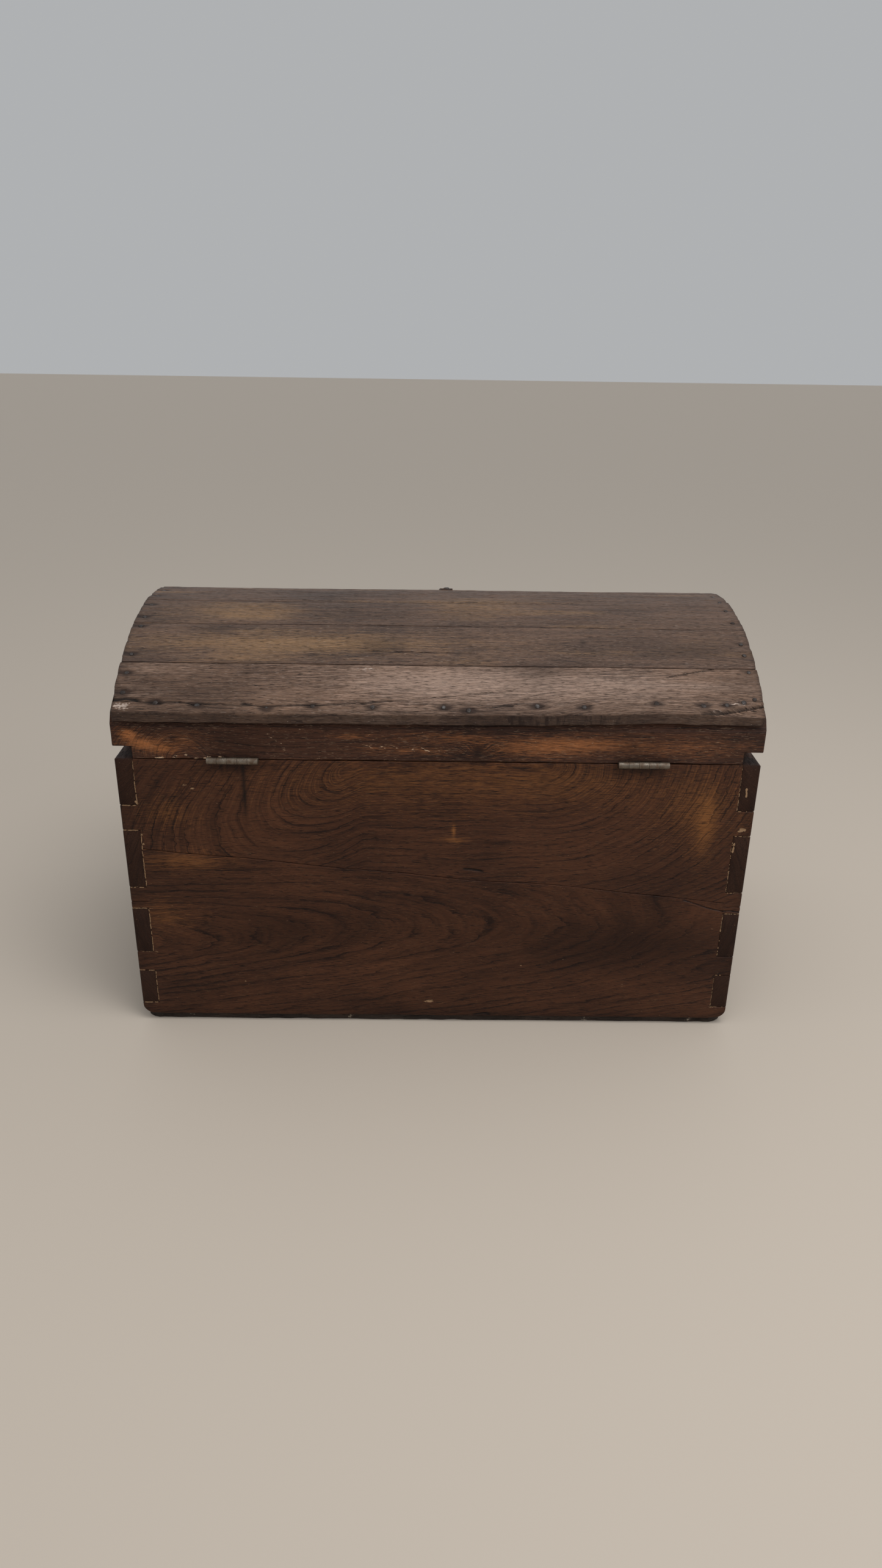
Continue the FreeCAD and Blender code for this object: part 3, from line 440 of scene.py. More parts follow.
joint_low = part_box("back_board_upper")[0].z
joint_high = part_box("back_board_lower")[1].z


def back_joint(x):
    """Height of the wavy joint between the two back boards."""
    share = (x + IN_L) / (2 * IN_L)
    line = joint_low + 0.002 + (joint_high - 0.001 - joint_low) * share
    return line + 0.0045 * math.exp(-((x + 0.22) / 0.13) ** 2) + 0.0008 * math.sin(x * 31.0)


def foot_round(x, reach=0.016):
    """How much the bottom corner of a wall is worn away at this distance along."""
    d = max(0.0, abs(x) - (HALF_L - reach))
    return reach - math.sqrt(max(0.0, reach ** 2 - d ** 2))


def is_top(z):
    """Whether this height is the wall's top edge, where a tail is open and has no line above it."""
    return z > BODY_TOP - 0.003


def tail_lines(u, s):
    """Pale, chipped edges round the tails."""
    out = np.zeros(np.shape(u))
    shoulder = IN_L + 0.0006
    for low, high in tail_spans:
        inside = (s > low - 0.001) & (s < high + 0.001)
        near_end = np.abs(u) > IN_L - 0.004
        line = fade(np.abs(np.abs(u) - shoulder), 0.0013) * inside
        for edge in (low, high):
            if not is_top(edge):
                line = np.maximum(line, fade(np.abs(s - edge), 0.0011) * near_end)
        out = np.maximum(out, line)
    return out * np.clip(0.2 + 0.9 * wander(u, s, 0.02, 0.017, 41), 0, 1)


def back_ring(u, s, t):
    """Growth rings as shells round a pith line that runs at a slant behind each board's face."""
    bend = wander(u, s, 0.16, 0.06, 5) * 0.5 + wander(u, s, 0.05, 0.02, 6) * 0.14
    depth = WALL_T - t
    low_pith = 0.165 - 0.075 * u
    lower = np.hypot(s - low_pith, 0.040 + 0.152 * (0.300 - u) + depth) / 0.0087
    high_pith = np.interp(u, (0.10, 0.15, 0.33, 0.45), (0.410, 0.385, 0.300, 0.250))
    below_face = 0.012 + 0.6 * np.maximum(u - 0.13, 0) + 0.7 * np.maximum(-0.15 - u, 0)
    swell = 0.010 * spot(u, s, -0.03, 0.262, 0.09, 0.035)
    upper = np.hypot(s - high_pith + swell, below_face + depth) / 0.0088
    joint = np.vectorize(back_joint)(u[:, :1]) * np.ones_like(u)
    return np.where(s < joint, lower, upper) + bend


BACK_RUBBED = (
    (0.62, -0.362, 0.325, 0.013, 0.045), (0.38, -0.345, 0.350, 0.050, 0.045),
    (0.30, 0.060, 0.385, 0.170, 0.035), (0.32, -0.160, 0.385, 0.120, 0.030),
    (0.55, 0.345, 0.262, 0.050, 0.013), (0.35, 0.380, 0.175, 0.040, 0.020),
    (1.30, -0.021, 0.312, 0.002, 0.008), (0.55, -0.021, 0.298, 0.015, 0.004),
    (0.35, 0.360, 0.335, 0.030, 0.020))
BACK_DIRTY = (
    (0.85, 0.268, 0.405, 0.040, 0.010), (0.75, -0.269, 0.404, 0.040, 0.009),
    (0.60, 0.258, 0.360, 0.004, 0.045), (0.45, 0.200, 0.155, 0.120, 0.028),
    (0.35, -0.200, 0.125, 0.200, 0.050), (0.55, -0.300, 0.140, 0.100, 0.045),
    (0.30, -0.300, 0.235, 0.120, 0.030))
SCRATCH = ((0.285, 0.078), (0.272, 0.066), (0.266, 0.058))
# Open splits: strength, width, seed, wobble, then the points along each.
BACK_SPLITS = (
    (1.0, 0.0022, 8, 0.0006, ((-0.036, 0.2545), (-0.048, 0.2530), (-0.062, 0.2505))),
    (1.0, 0.0011, 9, 0.0012, ((-0.345, 0.2075), (-0.375, 0.197), (-0.401, 0.1915), (-0.425, 0.190))),
    (0.7, 0.0009, 10, 0.0006, ((0.257, 0.405), (0.2575, 0.35), (0.259, 0.31))),
    (1.0, 0.0020, 12, 0.0012, ((-0.058, 0.0135), (-0.072, 0.0165), (-0.08, 0.014))))
DRIPS = 7
DRIP_STEP = 0.0068
NICKS = 4
NICK_STEP = 0.004


def deepest(u, s, splits):
    """The strongest of several splits at each point."""
    lines = [share * crack(u, s, path, width, seed, wobble) for share, width, seed, wobble, path in splits]
    return np.maximum.reduce([np.zeros_like(u)] + lines)


def back_paint(u, s, t):
    """Rubbed gold, hinge drips, pale specks, the open splits painted near-black as shade in their gaps, and
    the filler lines.
    """
    rub_and_sheen = patches(u, s, BACK_RUBBED)
    dirt_and_shade = patches(u, s, BACK_DIRTY)
    for k in range(DRIPS):
        dirt_and_shade += 0.55 * spot(u, s, 0.292 - DRIP_STEP * k, 0.400, 0.0011, 0.008 + 0.002 * (k % 3))
    dirt_and_shade += 0.5 * fade(s - BOTTOM_T, 0.018) + 0.35 * fade(HALF_L - np.abs(u), 0.02)
    bare = tail_lines(u, s) + 0.9 * spot(u, s, 0.009, 0.036, 0.007, 0.0025)
    bare += 0.5 * crack(u, s, SCRATCH, 0.0012)
    for k in range(NICKS):
        at = 0.335 - NICK_STEP * k
        bare += 0.55 * crack(u, s, [(at, 0.384 - 0.002 * k), (at + 0.003, 0.372 - 0.001 * k)], 0.0009, 17 + k)
    chip = np.maximum(spot(u, s, -0.411, 0.372, 0.006, 0.009), spot(u, s, -0.4035, 0.290, 0.004, 0.012))
    chip = np.maximum(chip, spot(u, s, -0.414, 0.318, 0.008, 0.004))
    bare += 1.3 * np.clip(chip * 2.2 - 1.1 + 0.5 * wander(u, s, 0.006, 0.005, 21), 0, 1)
    bare += 0.6 * clouds(u, s, 0.004, 0.0035, 61, 6, 5.3) * clouds(u, s, 0.09, 0.05, 62, 3, 0)
    return np.stack([rub_and_sheen, dirt_and_shade, bare, deepest(u, s, BACK_SPLITS)], -1)


def back_shape(u, s, t, outer):
    """Slight cupping, planing ripples and split lines pressed in."""
    dip = 0.0005 * wander(u, s, 0.12, 0.045, 14) + 0.00018 * wander(u, s, 0.03, 0.008, 15)
    marks = back_paint(u, s, t)
    dip = dip - 0.0016 * marks[..., 3] - 0.0006 * np.clip(marks[..., 2] - tail_lines(u, s), 0, 1)
    t = t + outer * dip
    return u, s, t


def hinge_bed(u, s, t, edge, drop):
    """Lowers the edge of a board where a hinge leaf is let in."""
    for name in ("left", "right"):
        low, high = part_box("hinge_%s_body_leaf" % name)
        depth = low.y - IN_D
        here = (u > low.x) & (u < high.x) & (t > depth - 0.0012) & (np.abs(s - edge) < 0.0025)
        s = np.where(here, s - drop, s)
    return s


def with_bed(u, s, t, outer):
    u, s, t = back_shape(u, s, t, outer)
    return u, hinge_bed(u, s, t, BODY_TOP, 0.0021), t


def back_place(u, s, t):
    return u, IN_D + t, s


def front_place(u, s, t):
    return -u, -IN_D - t, s


CUT = 0.0002                        # two stations this far either side of a step in a board
bed_edges = []
for side in ("left", "right"):
    low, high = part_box("hinge_%s_body_leaf" % side)
    bed_edges += [low.x - CUT, low.x + CUT, high.x - CUT, high.x + CUT]


def wall_board(low, high, place, shape, paint, ring, seed, bed=()):
    return board((-IN_L, IN_L), low, high, WALL_T, place, (0.004, 0.0014), 0.0009, shape, paint, ring,
                 (False, False), bed, seed=seed)


def pins(place, shape, paint, ring, spans, seed):
    """The stubs of a wall board that run out to the corners."""
    made = []
    for low, high in spans:
        for side in (-1, 1):
            a, b = sorted((side * (IN_L - CUT), side * HALF_L))
            floor_line = low if low > BOTTOM_T + 0.001 else (lambda x, z=low: z + foot_round(x))
            made.append(board((a, b), floor_line, high, WALL_T, place, (0.002, 0.0016), 0.0012, shape, paint,
                              ring, (side < 0, side > 0), seed=seed))
    return made


FILLER_PROUD = 0.00022
FILLER_DEEP = 0.0012
FILLER_STEP = 0.001                 # between stations along a bead
FILLER_MARKS = (0.0, 0.0, 1.0, 0.0)


def bead(start, way, k, off, half):
    """One bar of filler along stations k, off its line by off, with its half width at each station."""
    (u0, s0), (du, ds) = start, way
    n = len(k)
    verts, grain = [], []
    for side, rise in ((-1, FILLER_PROUD), (1, FILLER_PROUD), (1, -FILLER_DEEP), (-1, -FILLER_DEEP)):
        u = u0 + du * k - ds * (off + side * half)
        s = s0 + ds * k + du * (off + side * half)
        t = np.full(n, WALL_T + rise)
        verts.append(np.stack(back_place(u, s, t), -1))
        grain.append(np.stack([u, s, t], -1))
    verts, grain = np.stack(verts, 1).reshape(-1, 3), np.stack(grain, 1).reshape(-1, 3)
    quads = [(4 * i + j, 4 * i + (j + 1) % 4, 4 * i + 4 + (j + 1) % 4, 4 * i + 4 + j)
             for i in range(n - 1) for j in range(4)]
    last = 4 * (n - 1)
    ends = [(0, 1, 2), (0, 2, 3), (last, last + 2, last + 1), (last, last + 3, last + 2)]
    return {"verts": verts, "quads": np.array(quads), "tris": np.array(ends), "grain": grain,
            "ring": grain[:, 1] / 0.004, "marks": np.tile(FILLER_MARKS, (len(verts), 1))}


def filler(start, end, width, cover, seed):
    """Beads of pale filler along a joint in the back, broken where they have fallen out."""
    draw = np.random.default_rng(seed)
    beads = []
    length = math.hypot(end[0] - start[0], end[1] - start[1])
    way = (end[0] - start[0]) / length, (end[1] - start[1]) / length
    at = draw.uniform(0, 0.004)
    while at < length - 0.002:
        run = min(draw.uniform(0.003, 0.022) * cover, length - at)
        n = max(3, int(run / FILLER_STEP))
        k = np.linspace(at, at + run, n)
        off = np.cumsum(draw.normal(0, 0.00012, n))
        taper = np.minimum(1, np.minimum(k - at, at + run - k) / 0.001 + 0.3)
        beads.append(bead(start, way, k, off, width / 2 * draw.uniform(0.5, 1.25, n) * taper))
        at += run + draw.uniform(0.001, 0.020) * (1.05 - cover)
    return beads


# Share of filler left at each tail, from the bottom tail up: right end of the chest, left end.
FILLER_LEFT = ((0.80, 0.25), (0.85, 0.25), (0.85, 0.30), (0.80, 0.40))
CHIP_WIDTH = 0.003
CHIPS = (((0.4035, 0.352), (0.4010, 0.3465)), ((0.4035, 0.303), (0.3985, 0.301)),
         ((0.4035, 0.289), (0.3975, 0.2865)), ((-0.4105, 0.380), (-0.4115, 0.3660)),
         ((-0.4200, 0.318), (-0.4060, 0.3155)), ((-0.4045, 0.300), (-0.4030, 0.283)))
low_fill, high_fill = [], []
for number, ((low, high), covers) in enumerate(zip(tail_spans, FILLER_LEFT)):
    for side, cover in zip((1, -1), covers):
        fill = low_fill if high < 0.25 else high_fill
        seed = number + side
        inner, outer = side * (IN_L + 0.0003), side * (HALF_L - 0.001)
        fill += filler((inner, low), (inner, high - 0.001), 0.0011, cover, 200 + seed)
        if not is_top(high):
            fill += filler((inner, high), (outer, high), 0.0010, cover, 210 + seed)
        if number != 1:
            fill += filler((inner, low), (outer, low), 0.0009, 0.7 * cover, 220 + seed)
for number, (start, end) in enumerate(CHIPS):
    high_fill += filler(start, end, CHIP_WIDTH, 1.0, 230 + number)

pin_spans = [(BOTTOM_T, tail_spans[0][0])] + [(a[1], b[0]) for a, b in zip(tail_spans, tail_spans[1:])]
GLUE_LINE = 0.0003
SPLIT_PIN_LOW = 0.0105              # the joint between the boards crosses this pin here
lower_back = [wall_board(BOTTOM_T, lambda x: back_joint(x) - GLUE_LINE, back_place, back_shape, back_paint,
                         back_ring, 11)]
lower_back += pins(back_place, back_shape, back_paint, back_ring, pin_spans[:2], 12)
split_pin = pin_spans[2]
lower_back += pins(back_place, back_shape, back_paint, back_ring,
                   [(split_pin[0], split_pin[0] + SPLIT_PIN_LOW)], 13)
build("back_board_low", lower_back + low_fill, wall_finish, ["back_board_lower"], "chest")
upper_back = [wall_board(lambda x: back_joint(x) + GLUE_LINE, BODY_TOP, back_place, with_bed, back_paint,
                         back_ring, 14, bed_edges)]
upper_back += pins(back_place, back_shape, back_paint, back_ring,
                   [(split_pin[0] + SPLIT_PIN_LOW + GLUE_LINE, split_pin[1]), pin_spans[3]], 15)
build("back_board_high", upper_back + high_fill, wall_finish, ["back_board_upper"], "chest")


# ---- Front wall ----------------------------------------------------------------
# Two boards like the back's, with a level joint.  The lock side was kept better, with softer wear
# round the staple plate where hands and the hasp rub it.

front_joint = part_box("front_board_lower")[1].z


def front_ring(u, s, t):
    v = u + 0.1
    lower = (v + 90.0 * (s - 0.12) ** 2) / 0.035
    upper = (-v + 60.0 * (s - 0.34) ** 2) / 0.03
    return np.where(s < front_joint, lower, upper) + wander(u, s, 0.13, 0.05, 25) * 0.6


def front_paint(u, s, t):
    rub_and_sheen = 0.45 * spot(u, s, 0.0, 0.40, 0.20, 0.02) + 0.35 * spot(u, s, 0.05, 0.33, 0.10, 0.05)
    rub_and_sheen += 0.35 * clouds(u, s, 0.10, 0.03, 27, 2, 0.9)
    dirt_and_shade = 0.5 * fade(s - BOTTOM_T, 0.02) + 0.4 * spot(u, s, 0.0, 0.33, 0.045, 0.06)
    dirt_and_shade += 0.4 * clouds(u, s, 0.15, 0.07, 28, 2, 0.8)
    bare = tail_lines(u, s) * 0.8
    return np.stack([rub_and_sheen, dirt_and_shade, bare, 0 * u], -1)


def front_shape(u, s, t, outer):
    dip = 0.0005 * wander(u, s, 0.12, 0.045, 24) + 0.0002 * wander(u, s, 0.03, 0.008, 26)
    return u, s, t + outer * dip


def front_board(low, high, seed):
    return board((-IN_L, IN_L), low, high, WALL_T, front_place, (0.006, 0.002), 0.0012, front_shape,
                 front_paint, front_ring, (False, False), seed=seed)


lower_front = [front_board(BOTTOM_T, front_joint - GLUE_LINE, 31)]
lower_front += pins(front_place, front_shape, front_paint, front_ring, pin_spans[:3], 32)
build("front_board_low", lower_front, wall_finish, ["front_board_lower"], "chest")
upper_front = [front_board(front_joint + GLUE_LINE, BODY_TOP, 33)]
upper_front += pins(front_place, front_shape, front_paint, front_ring, pin_spans[3:], 34)
build("front_board_high", upper_front, wall_finish, ["front_board_upper"], "chest")


# ---- End walls -------------------------------------------------------------------
# Each end is two boards with the grain running from front to back.  Their tails show as blocks of
# end grain at the four corners, and a low lip in the middle stands up under the lid.

end_finish = oak("stained_end_oak", (0.0150, 0.0058, 0.0038), (0.070, 0.0285, 0.0150), (0.18, 0.070, 0.022),
                 (0.40, 0.26, 0.15), 0.7, 0.00028, 0.55, 0.14, seed=4.0, texture=0.32)
end_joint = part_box("right_end_board_lower")[1].z
lip_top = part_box("right_end_board_upper")[1].z
LIP_HALF = HALF_D - 0.062
LIP_SHOULDER = 0.0004
TAIL_SLOPE = 1 / 6                  # how fast a tail narrows towards the inside


def end_ring(u, s, t):
    lower = (u + 70.0 * (s - 0.10) ** 2) / 0.03
    upper = (-u + 50.0 * (s - 0.33) ** 2) / 0.03
    return np.where(s < end_joint, lower, upper) + wander(u, s, 0.11, 0.05, 45) * 0.6


def end_paint(u, s, t):
    near_face = np.clip((t - END_T + 0.004) / 0.004, 0, 1)
    rub_and_sheen = 0.4 * spot(u, s, 0.0, 0.20, 0.09, 0.03) + 0.4 * clouds(u, s, 0.10, 0.03, 47, 2, 0.9)
    dirt_and_shade = 0.5 * fade(s - BOTTOM_T, 0.02) + 0.5 * spot(u, s, 0.0, 0.29, 0.09, 0.04)
    bare = np.zeros_like(u)
    for low, high in tail_spans:
        reach = np.clip((np.abs(u) - IN_D) / WALL_T, 0, 1)
        nip = (1 - reach) * WALL_T * TAIL_SLOPE
        for edge, sign in ((low, 1), (high, -1)):
            if not is_top(edge):
                line = fade(np.abs(s - edge - sign * nip), 0.0011)
                bare = np.maximum(bare, line * (np.abs(u) > IN_D))
    bare *= np.clip(0.5 + wander(u, s, 0.02, 0.017, 48), 0, 1) * near_face
    return np.stack([rub_and_sheen, dirt_and_shade, bare, 0 * u], -1)


def end_shape(u, s, t, outer):
    dip = 0.0005 * wander(u, s, 0.10, 0.045, 44) + 0.0002 * wander(u, s, 0.03, 0.008, 46)
    return u, s, t + outer * dip


def tail_paint(u, s, t):
    """End grain drinks the stain and stays dark; its rim is chipped and filled pale."""
    rim = np.zeros_like(u)
    for low, high in tail_spans:
        for edge in (low, high):
            if not is_top(edge):
                rim = np.maximum(rim, fade(np.abs(s - edge), 0.0016))
    rim = np.maximum(rim, fade(t, 0.0016))
    patchy = np.clip(0.35 + 1.2 * wander(s, t, 0.017, 0.012, 51), 0, 1)
    dirt_and_shade = 0.55 + 0.3 * wander(s, t, 0.03, 0.02, 52)
    return np.stack([0 * u, dirt_and_shade, 0.9 * rim * patchy, 0 * u], -1)


def tail_ring(u, s, t):
    """On end grain the rings are gentle arcs across the block."""
    return (t + 3.0 * (s - 0.2) ** 2) / 0.0045 + wander(s, t, 0.03, 0.02, 53) * 0.4


def end_tails(place, spans, seed):
    def slope(x, edge, sign):
        return edge + sign * ((HALF_D - abs(x)) * TAIL_SLOPE + CUT)

    made = []
    for low, high in spans:
        for side in (-1, 1):
            a, b = sorted((side * (IN_D - CUT), side * HALF_D))
            top = high if is_top(high) else (lambda x, z=high: slope(x, z, -1))
            made.append(board((a, b), lambda x, z=low: slope(x, z, 1), top, END_T, place, (0.0022, 0.002),
                              0.0014, None, tail_paint, tail_ring, (side < 0, side > 0), sides=9, seed=seed))
    return made


def make_end(name, sign):
    def place(u, s, t):
        return sign * (IN_L + t), u, s

    def lid_line(y):
        return lip_top if abs(y) < LIP_HALF else BODY_TOP

    def end_board(low, high, steps, seed):
        return board((-IN_D, IN_D), low, high, END_T, place, (0.005, 0.002), 0.0012, end_shape, end_paint,
                     end_ring, (False, False), steps, seed=seed)

    lower = [end_board(BOTTOM_T, end_joint - GLUE_LINE, (), 61)]
    lower += end_tails(place, tail_spans[:2], 62)
    build(name + "_end_low", lower, end_finish, [name + "_end_board_lower"], "chest")
    steps = [sign_y * (LIP_HALF + d) for sign_y in (-1, 1) for d in (-LIP_SHOULDER, LIP_SHOULDER)]
    upper = [end_board(end_joint + GLUE_LINE, lid_line, steps, 63)]
    upper += end_tails(place, tail_spans[2:], 64)
    build(name + "_end_high", upper, end_finish, [name + "_end_board_upper"], "chest")


make_end("right", 1)
make_end("left", -1)


# ---- Bottom ------------------------------------------------------------------------
# Three rough-sawn boards nailed up under the walls.  Their edges show as a thin dirty strip
# round the foot of the chest, broken here and there.

bottom_finish = oak("rough_bottom_oak", (0.012, 0.008, 0.006), (0.050, 0.030, 0.020), (0.12, 0.07, 0.04),
                    (0.25, 0.2, 0.15), 0.4, 0.0004, 0.75, 0.3, seed=9.0)


def bottom_place(u, s, t):
    return u, s, BOTTOM_T - t


def bottom_paint(u, s, t):
    dirt_and_shade = 0.5 + 0.5 * wander(u, s, 0.04, 0.02, 72)
    bare = clouds(u, s, 0.006, 0.004, 73, 4, 3.3)
    return np.stack([0 * u, dirt_and_shade, bare, 0 * u], -1)


for index in (1, 2, 3):
    low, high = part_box("bottom_board_%d" % index)

    def bottom_shape(u, s, t, outer, low=low, high=high):
        """Edges and ends bitten back; the flat underside stays true."""
        bite = 0.0016 * np.clip(wander(u, s * 0, 0.02, 1.0, 75) + 0.2, 0, 1)
        s = np.where(s > high.y - 0.004, s - bite, s)
        s = np.where(s < low.y + 0.004, s + bite, s)
        corner = np.clip(np.abs(u) - (high.x - 0.02), 0, 0.02) ** 2 / 0.02 * 0.5
        s = np.where(s > HALF_D - 0.03, s - corner, s)
        s = np.where(s < -HALF_D + 0.03, s + corner, s)
        return u, s, t

    plank = board((low.x, high.x), low.y, high.y, BOTTOM_T, bottom_place, (0.008, 0.006), 0.0014,
                  bottom_shape, bottom_paint, None, seed=70 + index, back=8)
    build("bottom_plank_%d" % index, [plank], bottom_finish, ["bottom_board_%d" % index],
          "chest")


# ---- Lid rails -----------------------------------------------------------------------
# A long rail behind and one in front carry the lid's edge.  Each is notched at its lower corners over
# the body ends and bevelled on top to lie under the first stave.

rail_finish = oak("stained_rail_oak", (0.0150, 0.0058, 0.0038), (0.092, 0.0355, 0.0175), (0.34, 0.125, 0.042),
                  (0.50, 0.34, 0.22), 0.7, 0.00028, 0.48, 0.18, seed=2.0, tick_share=0.22, texture=0.34)
rail_low, rail_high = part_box("lid_back_rail")
LID_LINE = rail_low.z
RAIL_TOP = rail_high.z
RAIL_T = rail_high.y - rail_low.y
lid_end_low, lid_end_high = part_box("lid_right_end")
NOTCH_TOP = lid_end_low.z
NOTCH_X = IN_L - 0.0005
stave_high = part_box("stave_1")[1]
RAIL_FACE_TOP = BODY_TOP + 0.046    # where the rail's outer face ends and its bevel starts
KNEE_UP, KNEE_IN = 0.016, 0.009     # the bevel turns inwards here, from that edge


def rail_foot(x):
    return NOTCH_TOP if abs(x) > NOTCH_X else LID_LINE


def bevel(s, t):
    """Cuts the top of the rail's section back to the slope of the stave above it."""
    knee_s, knee_t = RAIL_FACE_TOP + KNEE_UP, RAIL_T - KNEE_IN
    first = RAIL_T + (s - RAIL_FACE_TOP) * (knee_t - RAIL_T) / (knee_s - RAIL_FACE_TOP)
    second = knee_t - (s - knee_s) * knee_t / (RAIL_TOP - knee_s)
    limit = np.where(s < knee_s, first, second)
    return np.where(s > RAIL_FACE_TOP, np.minimum(t, np.maximum(limit, 0.0)), t)


RAIL_RUBBED = (
    (1.00, 0.403, 0.446, 0.012, 0.007), (0.85, 0.385, 0.434, 0.020, 0.007),
    (0.55, 0.362, 0.426, 0.020, 0.007), (0.30, 0.335, 0.438, 0.030, 0.010),
    (0.45, 0.115, 0.447, 0.022, 0.003), (0.25, 0.040, 0.428, 0.060, 0.006),
    (0.50, -0.130, 0.433, 0.070, 0.012), (0.42, -0.190, 0.440, 0.060, 0.010),
    (0.30, -0.310, 0.436, 0.080, 0.012), (0.30, -0.020, 0.446, 0.060, 0.006))
RAIL_DIRTY = (
    (0.90, -0.052, 0.426, 0.010, 0.008), (0.55, 0.270, 0.414, 0.050, 0.007),
    (0.55, -0.270, 0.414, 0.050, 0.007), (0.45, 0.250, 0.440, 0.080, 0.020),
    (0.35, -0.260, 0.435, 0.040, 0.020))
RAIL_BARE = ((0.70, 0.343, 0.4165, 0.004, 0.003), (0.60, 0.330, 0.4185, 0.003, 0.0025))
RAIL_SCRAPE = ((0.224, 0.452), (0.216, 0.441), (0.205, 0.436), (0.200, 0.421))
CUTS = 6
CUT_STEP = 0.019


def back_rail_paint(u, s, t):
    """Gold where the lid is lifted, a painted shadow line under the staves, a chipped foot and a row of small
    cuts.
    """
    rub_and_sheen = patches(u, s, RAIL_RUBBED)
    # The dark line along the top of the rail's face is painted shadow of the staves' overhang.
    dirt_and_shade = patches(u, s, RAIL_DIRTY) + 0.7 * fade(np.abs(s - 0.4585), 0.0012)
    foot = fade(np.abs(s - LID_LINE - 0.0010), 0.0022)
    bare = 0.75 * foot * clouds(u, s, 0.006, 0.1, 81, 3, 0.4) * (u > 0.28) * (u < 0.41)
    bare += patches(u, s, RAIL_BARE) + 0.55 * crack(u, s, RAIL_SCRAPE, 0.0012, 82)
    for k in range(CUTS):
        at = 0.098 - CUT_STEP * k
        bare += 0.5 * crack(u, s, [(at, 0.436 - 0.001 * k), (at - 0.012, 0.430 - 0.001 * k)], 0.0011, 90 + k)
    return np.stack([rub_and_sheen, dirt_and_shade, bare, 0 * u], -1)


def back_rail_ring(u, s, t):
    knot = 3.2 * np.exp(-(((u + 0.052) / 0.03) ** 2 + ((s - 0.426) / 0.014) ** 2))
    swirl = np.clip((u - 0.30) / 0.08, 0, 1)
    straight = s / 0.0055 + knot + wander(u, s, 0.12, 0.03, 83) * 1.1 + 2.0 * u
    curl = (u + 16.0 * (s - 0.418) ** 2) / 0.0048 + wander(u, s, 0.04, 0.03, 84) * 0.5
    return straight * (1 - swirl) + curl * swirl


def rail_shape(u, s, t, outer):
    t = bevel(s, t)
    dip = 0.0005 * wander(u, s, 0.08, 0.02, 85) + 0.0002 * wander(u, s, 0.02, 0.006, 86)
    t = t + np.where(s < RAIL_FACE_TOP, outer * dip, 0.0)
    wear = 0.0009 * np.clip(wander(u, s * 0, 0.05, 1.0, 87), 0, 1)
    s = np.where((s < LID_LINE + 0.002) & (np.abs(u) < NOTCH_X), s + wear, s)
    return u, s, t


def rail_with_bed(u, s, t, outer):
    u, s, t = rail_shape(u, s, t, outer)
    return u, hinge_bed(u, s, t, LID_LINE, -0.0021), t


notch_steps = [side * (NOTCH_X + d) for side in (-1, 1) for d in (-0.0003, 0.0003)]


def rail(place, shape, paint, ring, seed, steps):
    return board((rail_low.x, rail_high.x), rail_foot, RAIL_TOP, RAIL_T, place, (0.004, 0.0014), 0.0012,
                 shape, paint, ring, (True, True), steps, sides=9, seed=seed)


back_rail = rail(back_place, rail_with_bed, back_rail_paint, back_rail_ring, 88, notch_steps + bed_edges)
build("back_rail", [back_rail], rail_finish, ["lid_back_rail"], "lid")


def front_rail_paint(u, s, t):
    rub_and_sheen = 0.5 * spot(u, s, 0.0, 0.42, 0.15, 0.012) + 0.4 * clouds(u, s, 0.08, 0.02, 91, 2, 0.8)
    # Darker towards the top of the rail: painted shade under the staves' overhang.
    dirt_and_shade = 0.4 * clouds(u, s, 0.1, 0.03, 92, 2, 0.8) + 0.5 * np.clip((s - 0.456) / 0.008, 0, 1)
    return np.stack([rub_and_sheen, dirt_and_shade, 0 * u, 0 * u], -1)


def front_rail_ring(u, s, t):
    return s / 0.005 + wander(u, s, 0.12, 0.03, 93) * 1.3 + 1.5 * u


front_rail = rail(front_place, rail_shape, front_rail_paint, front_rail_ring, 94, notch_steps)
build("front_rail", [front_rail], rail_finish, ["lid_front_rail"], "lid")


# ---- Arched lid ends -------------------------------------------------------------------
# Boards with their top edge sawn to a row of flats, one under each stave, nailed between the rails.

STAVE_T = 0.014
CREST = max(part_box("stave_%d" % (k + 1))[1].z for k in range(7))
EAVE_Y = stave_high.y
EAVE_Z = max(v.co.z for v in nodes["stave_1"].data.vertices if v.co.y > EAVE_Y - 0.0005)
SAG = CREST - EAVE_Z
DOME_R = (EAVE_Y ** 2 + SAG ** 2) / (2 * SAG)
DOME_Z = CREST - DOME_R
DOME_HALF = math.asin(EAVE_Y / DOME_R)
STAVE_WIDTHS = (79.0, 85.0, 77.0, 80.0, 77.0, 76.0, 72.0)
angles = [DOME_HALF]
for width in STAVE_WIDTHS:
    angles.append(angles[-1] - 2 * DOME_HALF * width / sum(STAVE_WIDTHS))


def under_stave(y):
    """Height of the flats on which the staves lie."""
    r = DOME_R - STAVE_T
    points = [(r * math.sin(a), DOME_Z + r * math.cos(a)) for a in angles]
    for (y0, z0), (y1, z1) in zip(points, points[1:]):
        if y1 <= y <= y0:
            return z0 + (y - y0) * (z1 - z0) / (y1 - y0)
    return points[0][1]


def arch_paint(u, s, t):
    rub_and_sheen = 0.35 * clouds(u, s, 0.08, 0.03, 101, 2, 0.8)
    dirt_and_shade = 0.4 * clouds(u, s, 0.1, 0.05, 102, 2, 0.8)
    line = [(-0.10, NOTCH_TOP + 0.002), (-0.03, NOTCH_TOP + 0.006), (0.06, NOTCH_TOP + 0.004)]
    split = crack(u, s, line, 0.0009)
    return np.stack([rub_and_sheen, dirt_and_shade, 0 * u, split], -1)


def arch_ring(u, s, t):
    return (u + 60.0 * (s - 0.47) ** 2) / 0.035 + wander(u, s, 0.1, 0.05, 103) * 0.6


